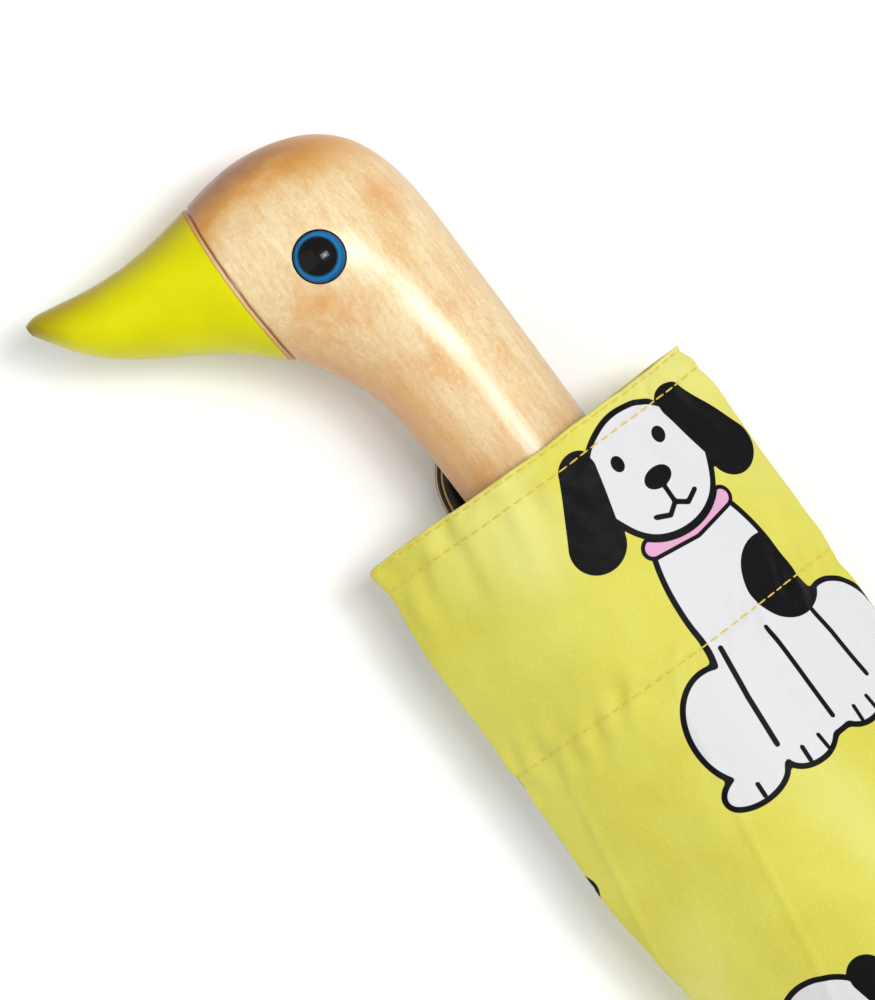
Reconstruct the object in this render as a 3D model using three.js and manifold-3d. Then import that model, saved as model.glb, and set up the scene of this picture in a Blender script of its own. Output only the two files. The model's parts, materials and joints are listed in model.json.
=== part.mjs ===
// A folding (telescopic) umbrella with a carved duck-head handle, packed in its pull-off fabric sleeve.
//
// Units are millimetres. The packed umbrella lies on its side on a table:
//   +X runs along the shaft, from the handle towards the sleeve's closed end,
//   +Y runs across, away from the beak, and +Z is up, off the table.
// The sub-parts are placed in the "packed" group, whose own x is measured from the sleeve's mouth and
// whose x axis is the shaft's axis. The exported group has its origin on the table, under the shaft's
// axis, half-way along the sleeve.

import * as THREE from 'three';
import { mergeVertices } from 'three/addons/utils/BufferGeometryUtils.js';
import Module from 'manifold-3d';

const wasm = await Module();
wasm.setup();

// ---------------------------------------------------------------- driving dimensions

const SLEEVE_LENGTH = 254;
const SLEEVE_WALL = 0.6;
const SLEEVE_RADIUS = 21.6; // of its crown over the bundle, outside
const AXIS_HEIGHT = 21.5; // shaft axis above the table
const MOUTH_HALF_WIDTH = 36;
const BODY_HALF_WIDTH = 31;

const NECK_END = 52; // how far the wooden neck reaches into the sleeve
const RUNNING_GAP = 0.3; // between parts that slide or are fitted together

const TUBE_WALL = 0.5;
const LOWER_TUBE = { from: -13.5, to: 184, radius: 3.4 };
const MIDDLE_TUBE = { from: 65.5, to: 202, radius: 4.2 };
const UPPER_TUBE = { from: 68, to: 234.7, radius: 5.0 };
const LOWER_TRAVEL = 98; // lower tube out of the middle one
const MIDDLE_TRAVEL = 109; // middle tube out of the upper one

const RIB_COUNT = 6;
// Pivots of one folded rib, as (distance along the shaft, distance from its axis).
const CROWN_PIVOT = [232, 7.6];
const RUNNER_PIVOT = [88, 7.6];
const KNEE = [80, 11.2]; // main rib to middle rib
const HEEL = [222, 12.8]; // middle rib to end rib
const RIB_END = [64, 15.2];
const ELBOW_X = 158; // stretcher to main rib
const LINK_REACH = 5; // how far a link runs on past its pivot to take the control wire
const SIDE_STEP = 1.7; // sideways offset of the links that lie beside the main rib

const EYE_POSITION = [-51.7, -8.85];
const EYE_RADIUS = 4.95;
const EYE_SEAT = 16.0; // height of the eye's flat back over the handle's mid-plane

const CORD_RADIUS = 2.7;
const CLIP = { from: 40, to: 50, halfWidth: 6.6, top: -11.5, bottom: -19.8 };
const CORD_END = { y: 3.1, z: -16.9 };

// ---------------------------------------------------------------- materials

function material(name, color, roughness, metalness = 0) {
  return new THREE.MeshStandardMaterial({ name, color, roughness, metalness });
}

const WOOD = material('varnished_wood', 0xe6c48c, 0.35);
const EYE = material('eye_plastic', 0x0e6fae, 0.08);
const BLACK_PLASTIC = material('black_plastic', 0x141416, 0.35);
const STEEL = material('plated_steel', 0xb9bcc0, 0.3, 1);
const DARK_STEEL = material('black_steel', 0x26272a, 0.4, 0.8);
const FIBREGLASS = material('fibreglass', 0x1b1c1e, 0.5);
const PRINTED_CLOTH = material('printed_cloth', 0xdcd862, 0.75);
const CORD = material('loop_cord', 0x1a1009, 0.15);

// ---------------------------------------------------------------- geometry helpers

function toSolid(geometry) {
  const loose = geometry.index ? geometry.toNonIndexed() : geometry;
  const bare = new THREE.BufferGeometry();
  bare.setAttribute('position', loose.getAttribute('position').clone());
  const merged = mergeVertices(bare, 1e-3);
  return new wasm.Manifold(
    new wasm.Mesh({
      numProp: 3,
      vertProperties: merged.attributes.position.array,
      triVerts: new Uint32Array(merged.index.array),
    }),
  );
}

function toGeometry(solid) {
  const { vertProperties, triVerts } = solid.getMesh();
  const geometry = new THREE.BufferGeometry();
  geometry.setAttribute('position', new THREE.BufferAttribute(vertProperties, 3));
  geometry.setIndex(new THREE.BufferAttribute(triVerts, 1));
  geometry.computeVertexNormals();
  return geometry;
}

function union(...geometries) {
  return toGeometry(geometries.map(toSolid).reduce((all, next) => all.add(next)));
}

function cut(geometry, ...tools) {
  return toGeometry(tools.map(toSolid).reduce((left, tool) => left.subtract(tool), toSolid(geometry)));
}

// A turned shape about the x axis. The profile is a list of [x, radius], outer side in rising x.
function turned(profile, segments = 24) {
  const points = profile.map(([x, radius]) => new THREE.Vector2(radius, x));
  return new THREE.LatheGeometry(points, segments).rotateZ(-Math.PI / 2);
}

function ring(from, to, outer, inner, segments = 24) {
  return turned([[from, inner], [from, outer], [to, outer], [to, inner], [from, inner]], segments);
}

function rod(from, to, radius, segments = 16) {
  return turned([[from, 0], [from, radius], [to, radius], [to, 0]], segments);
}

// A disc or pin whose axis runs along local y, centred on (x, z).
function crossPin(x, z, radius, fromY, toY, segments = 10) {
  const length = toY - fromY;
  return new THREE.CylinderGeometry(radius, radius, length, segments).translate(x, (fromY + toY) / 2, z);
}

function box(x, y, z, [sizeX, sizeY, sizeZ]) {
  return new THREE.BoxGeometry(sizeX, sizeY, sizeZ).translate(x, y, z);
}

// Turns a geometry that was built along +X from the origin so that it runs from a to b, both (x, z).
function laidFrom(geometry, a, b) {
  const slope = Math.atan2(b[1] - a[1], b[0] - a[0]);
  return geometry.rotateY(-slope).translate(a[0], 0, a[1]);
}

const distance = (a, b) => Math.hypot(b[0] - a[0], b[1] - a[1]);

// The point reached by going on past b, on the line from a to b, by a length.
function beyond(a, b, length) {
  const share = 1 + length / distance(a, b);
  return [a[0] + (b[0] - a[0]) * share, a[1] + (b[1] - a[1]) * share];
}

const packed = new THREE.Group();
packed.position.set(-SLEEVE_LENGTH / 2, 0, AXIS_HEIGHT);

function place(name, geometry, meshMaterial, parent = packed) {
  const mesh = new THREE.Mesh(geometry, meshMaterial);
  mesh.name = name;
  parent.add(mesh);
  return mesh;
}

// ---------------------------------------------------------------- the carved handle

// Stations from the neck's end to the beak's tip: a point on the back edge of the profile, the facing
// point on the throat edge, and half the depth there. All are measured from the sleeve's mouth.
const HANDLE_STATIONS = [
  { back: [52, 12.6], throat: [52, -12.6], depth: 12.6 },
  { back: [24, 13.3], throat: [30, -13.3], depth: 13.3 },
  { back: [-2, 13.5], throat: [8, -13.6], depth: 13.5 },
  { back: [-24, 13.5], throat: [-6, -13.8], depth: 13.6 },
  { back: [-40, 13.3], throat: [-16, -14.2], depth: 14.0 },
  { back: [-52, 13.0], throat: [-23.5, -15.2], depth: 15.0 },
  { back: [-60.5, 11.4], throat: [-28, -16.6], depth: 16.2 },
  { back: [-67, 8.3], throat: [-31.5, -18.2], depth: 17.2 },
  { back: [-71.8, 3.0], throat: [-34.5, -19.9], depth: 17.9 },
  { back: [-74.6, -4.0], throat: [-37, -21.4], depth: 18.1 },
  { back: [-75.7, -11.5], throat: [-38.9, -22.8], depth: 17.9 },
  { back: [-75.1, -18.5], throat: [-40.3, -24.2], depth: 17.3 },
  { back: [-73.7, -25.5], throat: [-42, -26], depth: 16.2 },
  { back: [-72.6, -33], throat: [-48, -32.7], depth: 14.4 },
  { back: [-72.2, -40.5], throat: [-53, -40.6], depth: 12.6 },
  { back: [-72.9, -48], throat: [-57.9, -48.2], depth: 10.8 },
  { back: [-74, -54], throat: [-63.3, -54], depth: 8.8 },
  { back: [-74.5, -57.6], throat: [-68.3, -57.5], depth: 6.0 },
  { back: [-74, -59.6], throat: [-71.5, -59.5], depth: 2.6 },
];
const STEPS_PER_STATION = 2;
const HANDLE_SIDES = 32;

// The line scored round the head where the painted beak begins. It bows towards the beak.
const GROOVE = { x: -56.4, y: -24.35, bow: 1 / 17 ** 2, halfReach: 24, width: 0.6, depth: 0.4 };

// The handle's outer shape, drawn in by an inset.
function handleBlank(inset = 0) {
  const curve = (pick) => new THREE.CatmullRomCurve3(HANDLE_STATIONS.map(pick));
  const backs = curve(({ back, depth }) => new THREE.Vector3(...back, depth));
  const throats = curve(({ throat }) => new THREE.Vector3(...throat, 0));
  const rings = (HANDLE_STATIONS.length - 1) * STEPS_PER_STATION + 1;
  const positions = [];
  for (let i = 0; i < rings; i += 1) {
    const back = backs.getPoint(i / (rings - 1));
    const throat = throats.getPoint(i / (rings - 1));
    const inwards = new THREE.Vector3(throat.x - back.x, throat.y - back.y, 0).setLength(inset);
    back.add(inwards).z -= inset;
    throat.sub(inwards);
    for (let j = 0; j < HANDLE_SIDES; j += 1) {
      const angle = (j / HANDLE_SIDES) * Math.PI * 2;
      const along = (1 + Math.cos(angle)) / 2;
      positions.push(
        throat.x + (back.x - throat.x) * along,
        throat.y + (back.y - throat.y) * along,
        back.z * Math.sin(angle),
      );
    }
  }
  return ringMesh(positions, rings, HANDLE_SIDES);
}

// Closes a stack of rings of points into one solid with a flat cap at each end.
function ringMesh(positions, rings, sides) {
  const faces = [];
  for (let i = 0; i < rings - 1; i += 1) {
    for (let j = 0; j < sides; j += 1) {
      const a = i * sides + j;
      const b = i * sides + ((j + 1) % sides);
      faces.push(a, a + sides, b, b, a + sides, b + sides);
    }
  }
  const last = (rings - 1) * sides;
  for (let j = 1; j < sides - 1; j += 1) {
    faces.push(0, j, j + 1);
    faces.push(last, last + j + 1, last + j);
  }
  const geometry = new THREE.BufferGeometry();
  geometry.setAttribute('position', new THREE.Float32BufferAttribute(positions, 3));
  geometry.setIndex(faces);
  return geometry;
}

// A thin bowed blade through the head, hollowed so that it cuts only as deep as the groove.
function grooveCutter() {
  const steps = 8;
  const edge = (side) =>
    Array.from({ length: steps + 1 }, (_, i) => {
      const offset = GROOVE.halfReach * ((2 * i) / steps - 1);
      const middle = GROOVE.y + GROOVE.bow * offset ** 2;
      return new THREE.Vector2(GROOVE.x + offset, middle + (side * GROOVE.width) / 2);
    });
  const outline = new THREE.Shape([...edge(-1), ...edge(1).reverse()]);
  const blade = new THREE.ExtrudeGeometry(outline, { depth: 50, bevelEnabled: false }).translate(0, 0, -25);
  return cut(blade, handleBlank(GROOVE.depth));
}

const PIN_X = 30;
const PIN_RADIUS = 1;
const PIN_HALF_LENGTH = 12.4;

function woodenHandle() {
  const shaftBore = rod(LOWER_TUBE.from - RUNNING_GAP, NECK_END + 1, LOWER_TUBE.radius + RUNNING_GAP, 24);
  const pinBore = crossPin(PIN_X, 0, PIN_RADIUS + RUNNING_GAP, -20, 20, 12);
  const screwBore = new THREE.CylinderGeometry(1.2, 1.2, 9, 10)
    .rotateX(Math.PI / 2)
    .translate(clipCentre, 0, -9.5);
  const eyeSeats = [1, -1].map((side) =>
    new THREE.CylinderGeometry(EYE_RADIUS + RUNNING_GAP, EYE_RADIUS + RUNNING_GAP, 6, 24)
      .rotateX(Math.PI / 2)
      .translate(...EYE_POSITION, side * (EYE_SEAT - RUNNING_GAP + 3)),
  );
  const shankBores = [1, -1].map((side) =>
    new THREE.CylinderGeometry(1.9, 1.9, 10, 12)
      .rotateX(Math.PI / 2)
      .translate(...EYE_POSITION, side * (EYE_SEAT - 3)),
  );
  return cut(handleBlank(), grooveCutter(), shaftBore, pinBore, screwBore, ...eyeSeats, ...shankBores);
}

// A moulded eye: a low dome on a short rim, with a shank that is glued into the head.
function eye() {
  const dome = [];
  for (let i = 0; i <= 4; i += 1) {
    const angle = (i / 4) * (Math.PI / 2);
    dome.push([1.1 + 2.7 * Math.sin(angle), EYE_RADIUS * Math.cos(angle)]);
  }
  return turned([[-5, 0], [-5, 1.6], [0, 1.6], [0, EYE_RADIUS], ...dome], 20).rotateY(-Math.PI / 2);
}

const clipCentre = (CLIP.from + CLIP.to) / 2;

place('wooden_handle', woodenHandle(), WOOD);
place('handle_pin', crossPin(PIN_X, 0, PIN_RADIUS, -PIN_HALF_LENGTH, PIN_HALF_LENGTH, 10), STEEL);
place('upper_eye', eye(), EYE).position.set(...EYE_POSITION, EYE_SEAT);
const underEye = place('lower_eye', eye(), EYE);
underEye.position.set(...EYE_POSITION, -EYE_SEAT);
underEye.rotation.x = Math.PI;

// The cup that is fixed to the neck's end. The tips of the folded ribs stand in it.
const CUP_PROFILE = [
  [NECK_END + RUNNING_GAP, LOWER_TUBE.radius + RUNNING_GAP],
  [NECK_END + RUNNING_GAP, 13],
  [55, 15.6],
  [61, 18],
  [66.5, 18],
  [66.5, 17.2],
  [58.6, 17.2],
  [57.4, LOWER_TUBE.radius + RUNNING_GAP],
  [NECK_END + RUNNING_GAP, LOWER_TUBE.radius + RUNNING_GAP],
];
place('tip_cup', turned(CUP_PROFILE), BLACK_PLASTIC);

// ---------------------------------------------------------------- hanging loop

function loopClip() {
  const height = CLIP.top - CLIP.bottom;
  const outline = new THREE.Shape();
  const round = 2.5;
  outline.moveTo(-CLIP.halfWidth, CLIP.top);
  outline.lineTo(-CLIP.halfWidth, CLIP.bottom + round);
  outline.quadraticCurveTo(-CLIP.halfWidth, CLIP.bottom, -CLIP.halfWidth + round, CLIP.bottom);
  outline.lineTo(CLIP.halfWidth - round, CLIP.bottom);
  outline.quadraticCurveTo(CLIP.halfWidth, CLIP.bottom, CLIP.halfWidth, CLIP.bottom + round);
  outline.lineTo(CLIP.halfWidth, CLIP.top);
  const block = new THREE.ExtrudeGeometry(outline, {
    depth: CLIP.to - CLIP.from,
    bevelEnabled: false,
    curveSegments: 3,
  });
  const toShaft = new THREE.Matrix4().makeBasis(
    new THREE.Vector3(0, 1, 0),
    new THREE.Vector3(0, 0, 1),
    new THREE.Vector3(1, 0, 0),
  );
  block.applyMatrix4(toShaft).translate(CLIP.from, 0, 0);
  const neck = rod(CLIP.from - 1, CLIP.to + 1, 13.4, 40);
  const screwHole = new THREE.CylinderGeometry(1.2, 1.2, height + 2, 12)
    .rotateX(Math.PI / 2)
    .translate(clipCentre, 0, (CLIP.top + CLIP.bottom) / 2);
  const headRecess = new THREE.CylinderGeometry(2.6, 2.6, 2, 16)
    .rotateX(Math.PI / 2)
    .translate(clipCentre, 0, CLIP.bottom + 0.9);
  return cut(block, neck, screwHole, headRecess);
}

function loopScrew() {
  const head = rod(-1.3, 0, 2.2, 16);
  const shank = rod(-0.5, 12, 0.9, 12);
  return union(head, shank).rotateY(-Math.PI / 2);
}

place('loop_clip', loopClip(), DARK_STEEL);
place('loop_screw', loopScrew(), STEEL).position.set(clipCentre, 0, CLIP.bottom + 1.5);

// The glossy cord leaves the clip, runs up beside the neck, bends round under it just outside the
// sleeve's mouth and comes back to the clip.
const CORD_BEND = { x: 0.4, y: -3.5, radius: 11.7 };
const bendPoint = (degrees, z) => {
  const angle = THREE.MathUtils.degToRad(degrees);
  return [
    CORD_BEND.x - CORD_BEND.radius * Math.sin(angle),
    CORD_BEND.y - CORD_BEND.radius * Math.cos(angle),
    z,
  ];
};
const CORD_ROUTE = [
  [CLIP.from - RUNNING_GAP, -CORD_END.y, CORD_END.z],
  [34, -3.6, -16.9],
  [28, -5.6, -16.8],
  [21, -9.2, -16.0],
  [14, -12.6, -14.6],
  [7, -14.7, -13.4],
  bendPoint(0, -12.9),
  bendPoint(30, -13.6),
  bendPoint(60, -15.2),
  bendPoint(90, -16.7),
  bendPoint(120, -17.4),
  bendPoint(150, -17.7),
  bendPoint(180, -17.8),
  [7, 8.0, -17.9],
  [14, 7.1, -17.9],
  [21, 5.7, -17.7],
  [28, 4.2, -17.3],
  [34, 3.3, -17.0],
  [CLIP.from - RUNNING_GAP, CORD_END.y, CORD_END.z],
].map((point) => new THREE.Vector3(...point));

function hangingLoop() {
  const section = new THREE.Shape();
  section.absarc(0, 0, CORD_RADIUS, 0, Math.PI * 2);
  return new THREE.ExtrudeGeometry(section, {
    steps: 32,
    curveSegments: 5,
    extrudePath: new THREE.CatmullRomCurve3(CORD_ROUTE),
  });
}

place('hanging_loop', hangingLoop(), CORD);

// ---------------------------------------------------------------- telescopic shaft

// A leaf spring with a nub at its end, on the +Y side of a tube. Its origin is the nub's centre.
function leafCatch(leafRadius, nubTop) {
  const leaf = box(-6, leafRadius, 0, [14, 0.4, 2]);
  const nub = box(0, (leafRadius + nubTop) / 2, 0, [2.6, nubTop - leafRadius, 1.6]);
  return union(leaf, nub);
}

// A tube with a slot for its own catch and a slot where the next tube's catch snaps out.
function shaftTube({ from, to, radius }, slots) {
  const tools = slots.map((x) => box(x, radius, 0, [3.6, 3, 2.4]));
  return cut(ring(from, to, radius, radius - TUBE_WALL, 24), ...tools);
}

const LOWER_NUB = LOWER_TUBE.to - 4;
const MIDDLE_NUB = MIDDLE_TUBE.to - 4;
const RUNNER_NUB = 216;

function drilledLowerTube() {
  const pinHole = crossPin(PIN_X, 0, PIN_RADIUS + RUNNING_GAP, -6, 6, 12);
  return cut(shaftTube(LOWER_TUBE, [LOWER_NUB]), pinHole);
}

place('lower_tube', drilledLowerTube(), STEEL);
place('middle_tube', shaftTube(MIDDLE_TUBE, [MIDDLE_NUB, LOWER_NUB - LOWER_TRAVEL]), STEEL);
place('upper_tube', shaftTube(UPPER_TUBE, [RUNNER_NUB, MIDDLE_NUB - MIDDLE_TRAVEL]), DARK_STEEL);
place('lower_catch', leafCatch(2.2, LOWER_TUBE.radius + 0.05), STEEL).position.x = LOWER_NUB;
place('middle_catch', leafCatch(3.0, MIDDLE_TUBE.radius + 0.05), STEEL).position.x = MIDDLE_NUB;
place('runner_catch', leafCatch(3.7, 6.4), STEEL).position.x = RUNNER_NUB;

// ---------------------------------------------------------------- crown, runner and end cap

const SLOT_FLOOR = 5.8; // radius of the bottom of the rib slots
const FLANGE_RADIUS = 9;
const GROOVE_RADIUS = 6.9;
const WIRE_RADIUS = 0.4;

// One radial slot in each rib's direction, at a sideways offset.
function ribSlots(fromX, toX, width, sideways) {
  return Array.from({ length: RIB_COUNT }, (_, i) =>
    box((fromX + toX) / 2, sideways, SLOT_FLOOR + 3, [toX - fromX, width, 6]).rotateX(ribAngle(i)),
  );
}

function ribAngle(i) {
  return ((i + 0.5) / RIB_COUNT) * Math.PI * 2;
}

const TUBE_BORE = UPPER_TUBE.radius + RUNNING_GAP;
const CROWN_PROFILE = [
  [226, TUBE_BORE],
  [226, FLANGE_RADIUS],
  [230.4, FLANGE_RADIUS],
  [230.4, GROOVE_RADIUS],
  [233.6, GROOVE_RADIUS],
  [233.6, FLANGE_RADIUS],
  [237, FLANGE_RADIUS],
  [240, 7],
  [240, 2.3],
  [235, 2.3],
  [235, TUBE_BORE],
  [226, TUBE_BORE],
];
const RUNNER_PROFILE = [
  [70, TUBE_BORE],
  [70, FLANGE_RADIUS],
  [73, FLANGE_RADIUS],
  [74, 7.4],
  [84, 7.4],
  [84, FLANGE_RADIUS],
  [86.4, FLANGE_RADIUS],
  [86.4, GROOVE_RADIUS],
  [89.6, GROOVE_RADIUS],
  [89.6, FLANGE_RADIUS],
  [92, FLANGE_RADIUS],
  [92, TUBE_BORE],
  [70, TUBE_BORE],
];

function hingeWire([x, radius]) {
  return new THREE.TorusGeometry(radius, WIRE_RADIUS, 6, 30).rotateY(Math.PI / 2).translate(x, 0, 0);
}

function endCap() {
  const stem = rod(236, 244, 2, 16);
  const dome = turned([[243.5, 0], [243.5, 7.5], [246, 7.2], [248.4, 5.6], [249.6, 3], [249.8, 0]], 20);
  return union(stem, dome);
}

const runnerSlots = ribSlots(86, 93, 1.8, SIDE_STEP);
place('crown', cut(turned(CROWN_PROFILE), ...ribSlots(225, 235, 2.4, 0)), BLACK_PLASTIC);
place('crown_wire', hingeWire(CROWN_PIVOT), STEEL);
place('runner', cut(turned(RUNNER_PROFILE), ...runnerSlots), BLACK_PLASTIC);
place('runner_wire', hingeWire(RUNNER_PIVOT), STEEL);
place('end_cap', endCap(), BLACK_PLASTIC);

// ---------------------------------------------------------------- ribs
// One rib is drawn with x along the shaft, z out from it and y sideways, and turned round the shaft.

const EYE_HOLE = 0.8;
const PEG_RADIUS = 0.5;
const LUG_RADIUS = 1.5;

// A rolled steel channel from a to b, open outwards.
function channel(a, b, width, height, wall) {
  const outline = new THREE.Shape();
  outline.moveTo(-width / 2, -height / 2);
  outline.lineTo(width / 2, -height / 2);
  outline.lineTo(width / 2, height / 2);
  outline.lineTo(width / 2 - wall, height / 2);
  outline.lineTo(width / 2 - wall, -height / 2 + wall);
  outline.lineTo(-width / 2 + wall, -height / 2 + wall);
  outline.lineTo(-width / 2 + wall, height / 2);
  outline.lineTo(-width / 2, height / 2);
  const bar = new THREE.ExtrudeGeometry(outline, { depth: distance(a, b), bevelEnabled: false });
  const alongX = new THREE.Matrix4().makeBasis(
    new THREE.Vector3(0, 1, 0),
    new THREE.Vector3(0, 0, 1),
    new THREE.Vector3(1, 0, 0),
  );
  return laidFrom(bar.applyMatrix4(alongX), a, b);
}

const lug = ([x, z], width, sideways) =>
  crossPin(x, z, LUG_RADIUS, sideways - width / 2, sideways + width / 2, 8);
const hole = ([x, z], sideways) => crossPin(x, z, EYE_HOLE, sideways - 3, sideways + 3, 6);
// A rivet that stands out of a link on one side, with a head.
const rivet = ([x, z], side) => {
  const pin = side > 0 ? [0.2, 2.9] : [-2.9, -0.2];
  const head = side > 0 ? [2.6, 3.0] : [-3.0, -2.6];
  return [crossPin(x, z, PEG_RADIUS, ...pin, 6), crossPin(x, z, 1.0, ...head, 6)];
};

const elbow = beyond(KNEE, CROWN_PIVOT, 0).map((_, axis) => {
  const share = (ELBOW_X - CROWN_PIVOT[0]) / (KNEE[0] - CROWN_PIVOT[0]);
  return CROWN_PIVOT[axis] + (KNEE[axis] - CROWN_PIVOT[axis]) * share;
});
const mainTail = beyond(CROWN_PIVOT, KNEE, LINK_REACH);
const endHeel = beyond(RIB_END, HEEL, LINK_REACH);

const MAIN_WIDTH = 1.6;
const SIDE_WIDTH = 1.2;

function mainRib() {
  const body = union(
    channel(mainTail, CROWN_PIVOT, MAIN_WIDTH, 1.8, 0.4),
    lug(CROWN_PIVOT, MAIN_WIDTH, 0),
    lug(KNEE, MAIN_WIDTH, 0),
    lug(mainTail, MAIN_WIDTH, 0),
    ...rivet(KNEE, -1),
    ...rivet(elbow, 1),
    ...rivet(mainTail, 1),
    lug(elbow, MAIN_WIDTH, 0),
  );
  return cut(body, hole(CROWN_PIVOT, 0));
}

function stretcher() {
  const bar = channel(RUNNER_PIVOT, elbow, SIDE_WIDTH, 1.6, 0.35).translate(0, SIDE_STEP, 0);
  const body = union(bar, lug(RUNNER_PIVOT, SIDE_WIDTH, SIDE_STEP), lug(elbow, SIDE_WIDTH, SIDE_STEP));
  return cut(body, hole(RUNNER_PIVOT, SIDE_STEP), hole(elbow, SIDE_STEP));
}

function middleRib() {
  const bar = channel(KNEE, HEEL, SIDE_WIDTH, 1.6, 0.35).translate(0, -SIDE_STEP, 0);
  const body = union(bar, lug(KNEE, SIDE_WIDTH, -SIDE_STEP), lug(HEEL, SIDE_WIDTH, -SIDE_STEP));
  return cut(body, hole(KNEE, -SIDE_STEP), hole(HEEL, -SIDE_STEP));
}

function endRib() {
  const bar = laidFrom(rod(0, distance(endHeel, RIB_END), 0.8, 8), endHeel, RIB_END);
  return union(bar, lug(HEEL, 1.6, 0), lug(endHeel, 1.6, 0), ...rivet(HEEL, -1), ...rivet(endHeel, 1));
}

function controlWire() {
  const bar = laidFrom(rod(0, distance(mainTail, endHeel), 0.4, 6), mainTail, endHeel);
  bar.translate(0, SIDE_STEP, 0);
  const body = union(bar, lug(mainTail, 0.8, SIDE_STEP), lug(endHeel, 0.8, SIDE_STEP));
  return cut(body, hole(mainTail, SIDE_STEP), hole(endHeel, SIDE_STEP));
}

// The tip's socket takes the end of the rib, and its nose stands in the cup.
function ribTip() {
  const profile = [[-4, 1.1], [-4, 1.6], [3, 1.6], [4.3, 0.9], [4.6, 0], [0.6, 0], [0.6, 1.1], [-4, 1.1]];
  return laidFrom(turned(profile, 10), RIB_END, beyond(endHeel, RIB_END, 1));
}

const RIB_LINKS = {
  main_rib: [mainRib(), DARK_STEEL],
  stretcher: [stretcher(), DARK_STEEL],
  middle_rib: [middleRib(), DARK_STEEL],
  end_rib: [endRib(), FIBREGLASS],
  control_wire: [controlWire(), STEEL],
  rib_tip: [ribTip(), BLACK_PLASTIC],
};

for (let i = 0; i < RIB_COUNT; i += 1) {
  const rib = new THREE.Group();
  rib.rotation.x = ribAngle(i);
  packed.add(rib);
  for (const [name, [geometry, linkMaterial]] of Object.entries(RIB_LINKS)) {
    place(`${name}_${i + 1}`, geometry, linkMaterial, rib);
  }
}

// ---------------------------------------------------------------- folded canopy and its strap

const CANOPY_PROFILE = [
  [69, 16.6],
  [69, 19.4],
  [90, 19.7],
  [150, 19.5],
  [200, 18.6],
  [222, 17.4],
  [234, 14.4],
  [241, 9.9],
  [243.1, 5],
  [243.1, 2.6],
  [242, 2.6],
  [241.4, 5],
  [240.2, 7.9],
  [238, 10.3],
  [230, 14],
  [220, 15.4],
  [150, 16.2],
  [69, 16.6],
];
place('canopy', turned(CANOPY_PROFILE), PRINTED_CLOTH);

// The tie strap goes once round the bundle, and its end lies over its start, with the snap between.
const STRAP = { from: 118, to: 136, radius: 20, thickness: 0.5, overlapLift: 2.8 };
const STRAP_OVERLAP = THREE.MathUtils.degToRad(24);

function strapRadius(angle) {
  const lifted = THREE.MathUtils.smoothstep(angle, Math.PI * 2 - STRAP_OVERLAP * 2, Math.PI * 2 - STRAP_OVERLAP / 2);
  return STRAP.radius + STRAP.overlapLift * lifted;
}

function tieStrap() {
  const steps = 40;
  const start = -STRAP_OVERLAP / 2;
  const end = Math.PI * 2 + STRAP_OVERLAP / 2;
  const inner = [];
  const outer = [];
  for (let i = 0; i <= steps; i += 1) {
    const angle = start + ((end - start) * i) / steps;
    const radius = strapRadius(angle);
    inner.push(new THREE.Vector2(radius * Math.cos(angle), radius * Math.sin(angle)));
    const far = radius + STRAP.thickness;
    outer.push(new THREE.Vector2(far * Math.cos(angle), far * Math.sin(angle)));
  }
  const outline = new THREE.Shape([...outer, ...inner.reverse()]);
  const band = new THREE.ExtrudeGeometry(outline, { depth: STRAP.to - STRAP.from, bevelEnabled: false });
  const toShaft = new THREE.Matrix4().makeBasis(
    new THREE.Vector3(0, 1, 0),
    new THREE.Vector3(0, 0, 1),
    new THREE.Vector3(1, 0, 0),
  );
  return band.applyMatrix4(toShaft).translate(STRAP.from, 0, 0);
}

const SNAP_X = (STRAP.from + STRAP.to) / 2;
const STUD_BASE = STRAP.radius + STRAP.thickness + RUNNING_GAP;
const SNAP_BASE = STUD_BASE + STRAP.overlapLift;
place('tie_strap', tieStrap(), PRINTED_CLOTH);
place('snap_stud', crossPin(SNAP_X, 0, 4.2, STUD_BASE, STUD_BASE + 1.3, 20), STEEL);
place('snap_cap', crossPin(SNAP_X, 0, 5, SNAP_BASE, SNAP_BASE + 1.2, 24), STEEL);

// ---------------------------------------------------------------- the sleeve

const CROWN_STEPS = 8;
const REST_HALF_WIDTH = 12; // of the strip that lies flat on the table

// Half of the outline, from the crease on the -Y side round the crown; then the flat underside.
function sleeveOutline(halfWidth, radius, restDepth, creaseHalf) {
  const tangent = Math.acos(radius / halfWidth);
  const points = [[-halfWidth, creaseHalf]];
  for (let i = 0; i <= CROWN_STEPS; i += 1) {
    const angle = Math.PI - tangent - ((Math.PI - 2 * tangent) * i) / CROWN_STEPS;
    points.push([radius * Math.cos(angle), radius * Math.sin(angle)]);
  }
  points.push([halfWidth, creaseHalf], [halfWidth, -creaseHalf]);
  points.push([REST_HALF_WIDTH, -restDepth], [-REST_HALF_WIDTH, -restDepth], [-halfWidth, -creaseHalf]);
  return points;
}

// Half-width of the sleeve at x: wide at the mouth, drawn in by the bundle further down.
function sleeveHalfWidth(x) {
  return THREE.MathUtils.lerp(MOUTH_HALF_WIDTH, BODY_HALF_WIDTH, THREE.MathUtils.smoothstep(x, 66, 140));
}

const SLEEVE_STATIONS = [0, 30, 66, 78, 90, 102, 116, 140, 190, 240, SLEEVE_LENGTH];

function sleeveBody(stations, inset) {
  const positions = [];
  for (const x of stations) {
    const half = sleeveHalfWidth(Math.max(x, 0)) - inset * 3;
    const outline = sleeveOutline(half, SLEEVE_RADIUS - inset, AXIS_HEIGHT - inset, inset ? 0.2 : 0.7);
    for (const [y, z] of outline) positions.push(x, y, z);
  }
  return ringMesh(positions, stations.length, positions.length / 3 / stations.length);
}

function sleeve() {
  const inside = [-1, ...SLEEVE_STATIONS.slice(1, -1), SLEEVE_LENGTH - SLEEVE_WALL];
  return cut(sleeveBody(SLEEVE_STATIONS, 0), sleeveBody(inside, SLEEVE_WALL));
}

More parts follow.
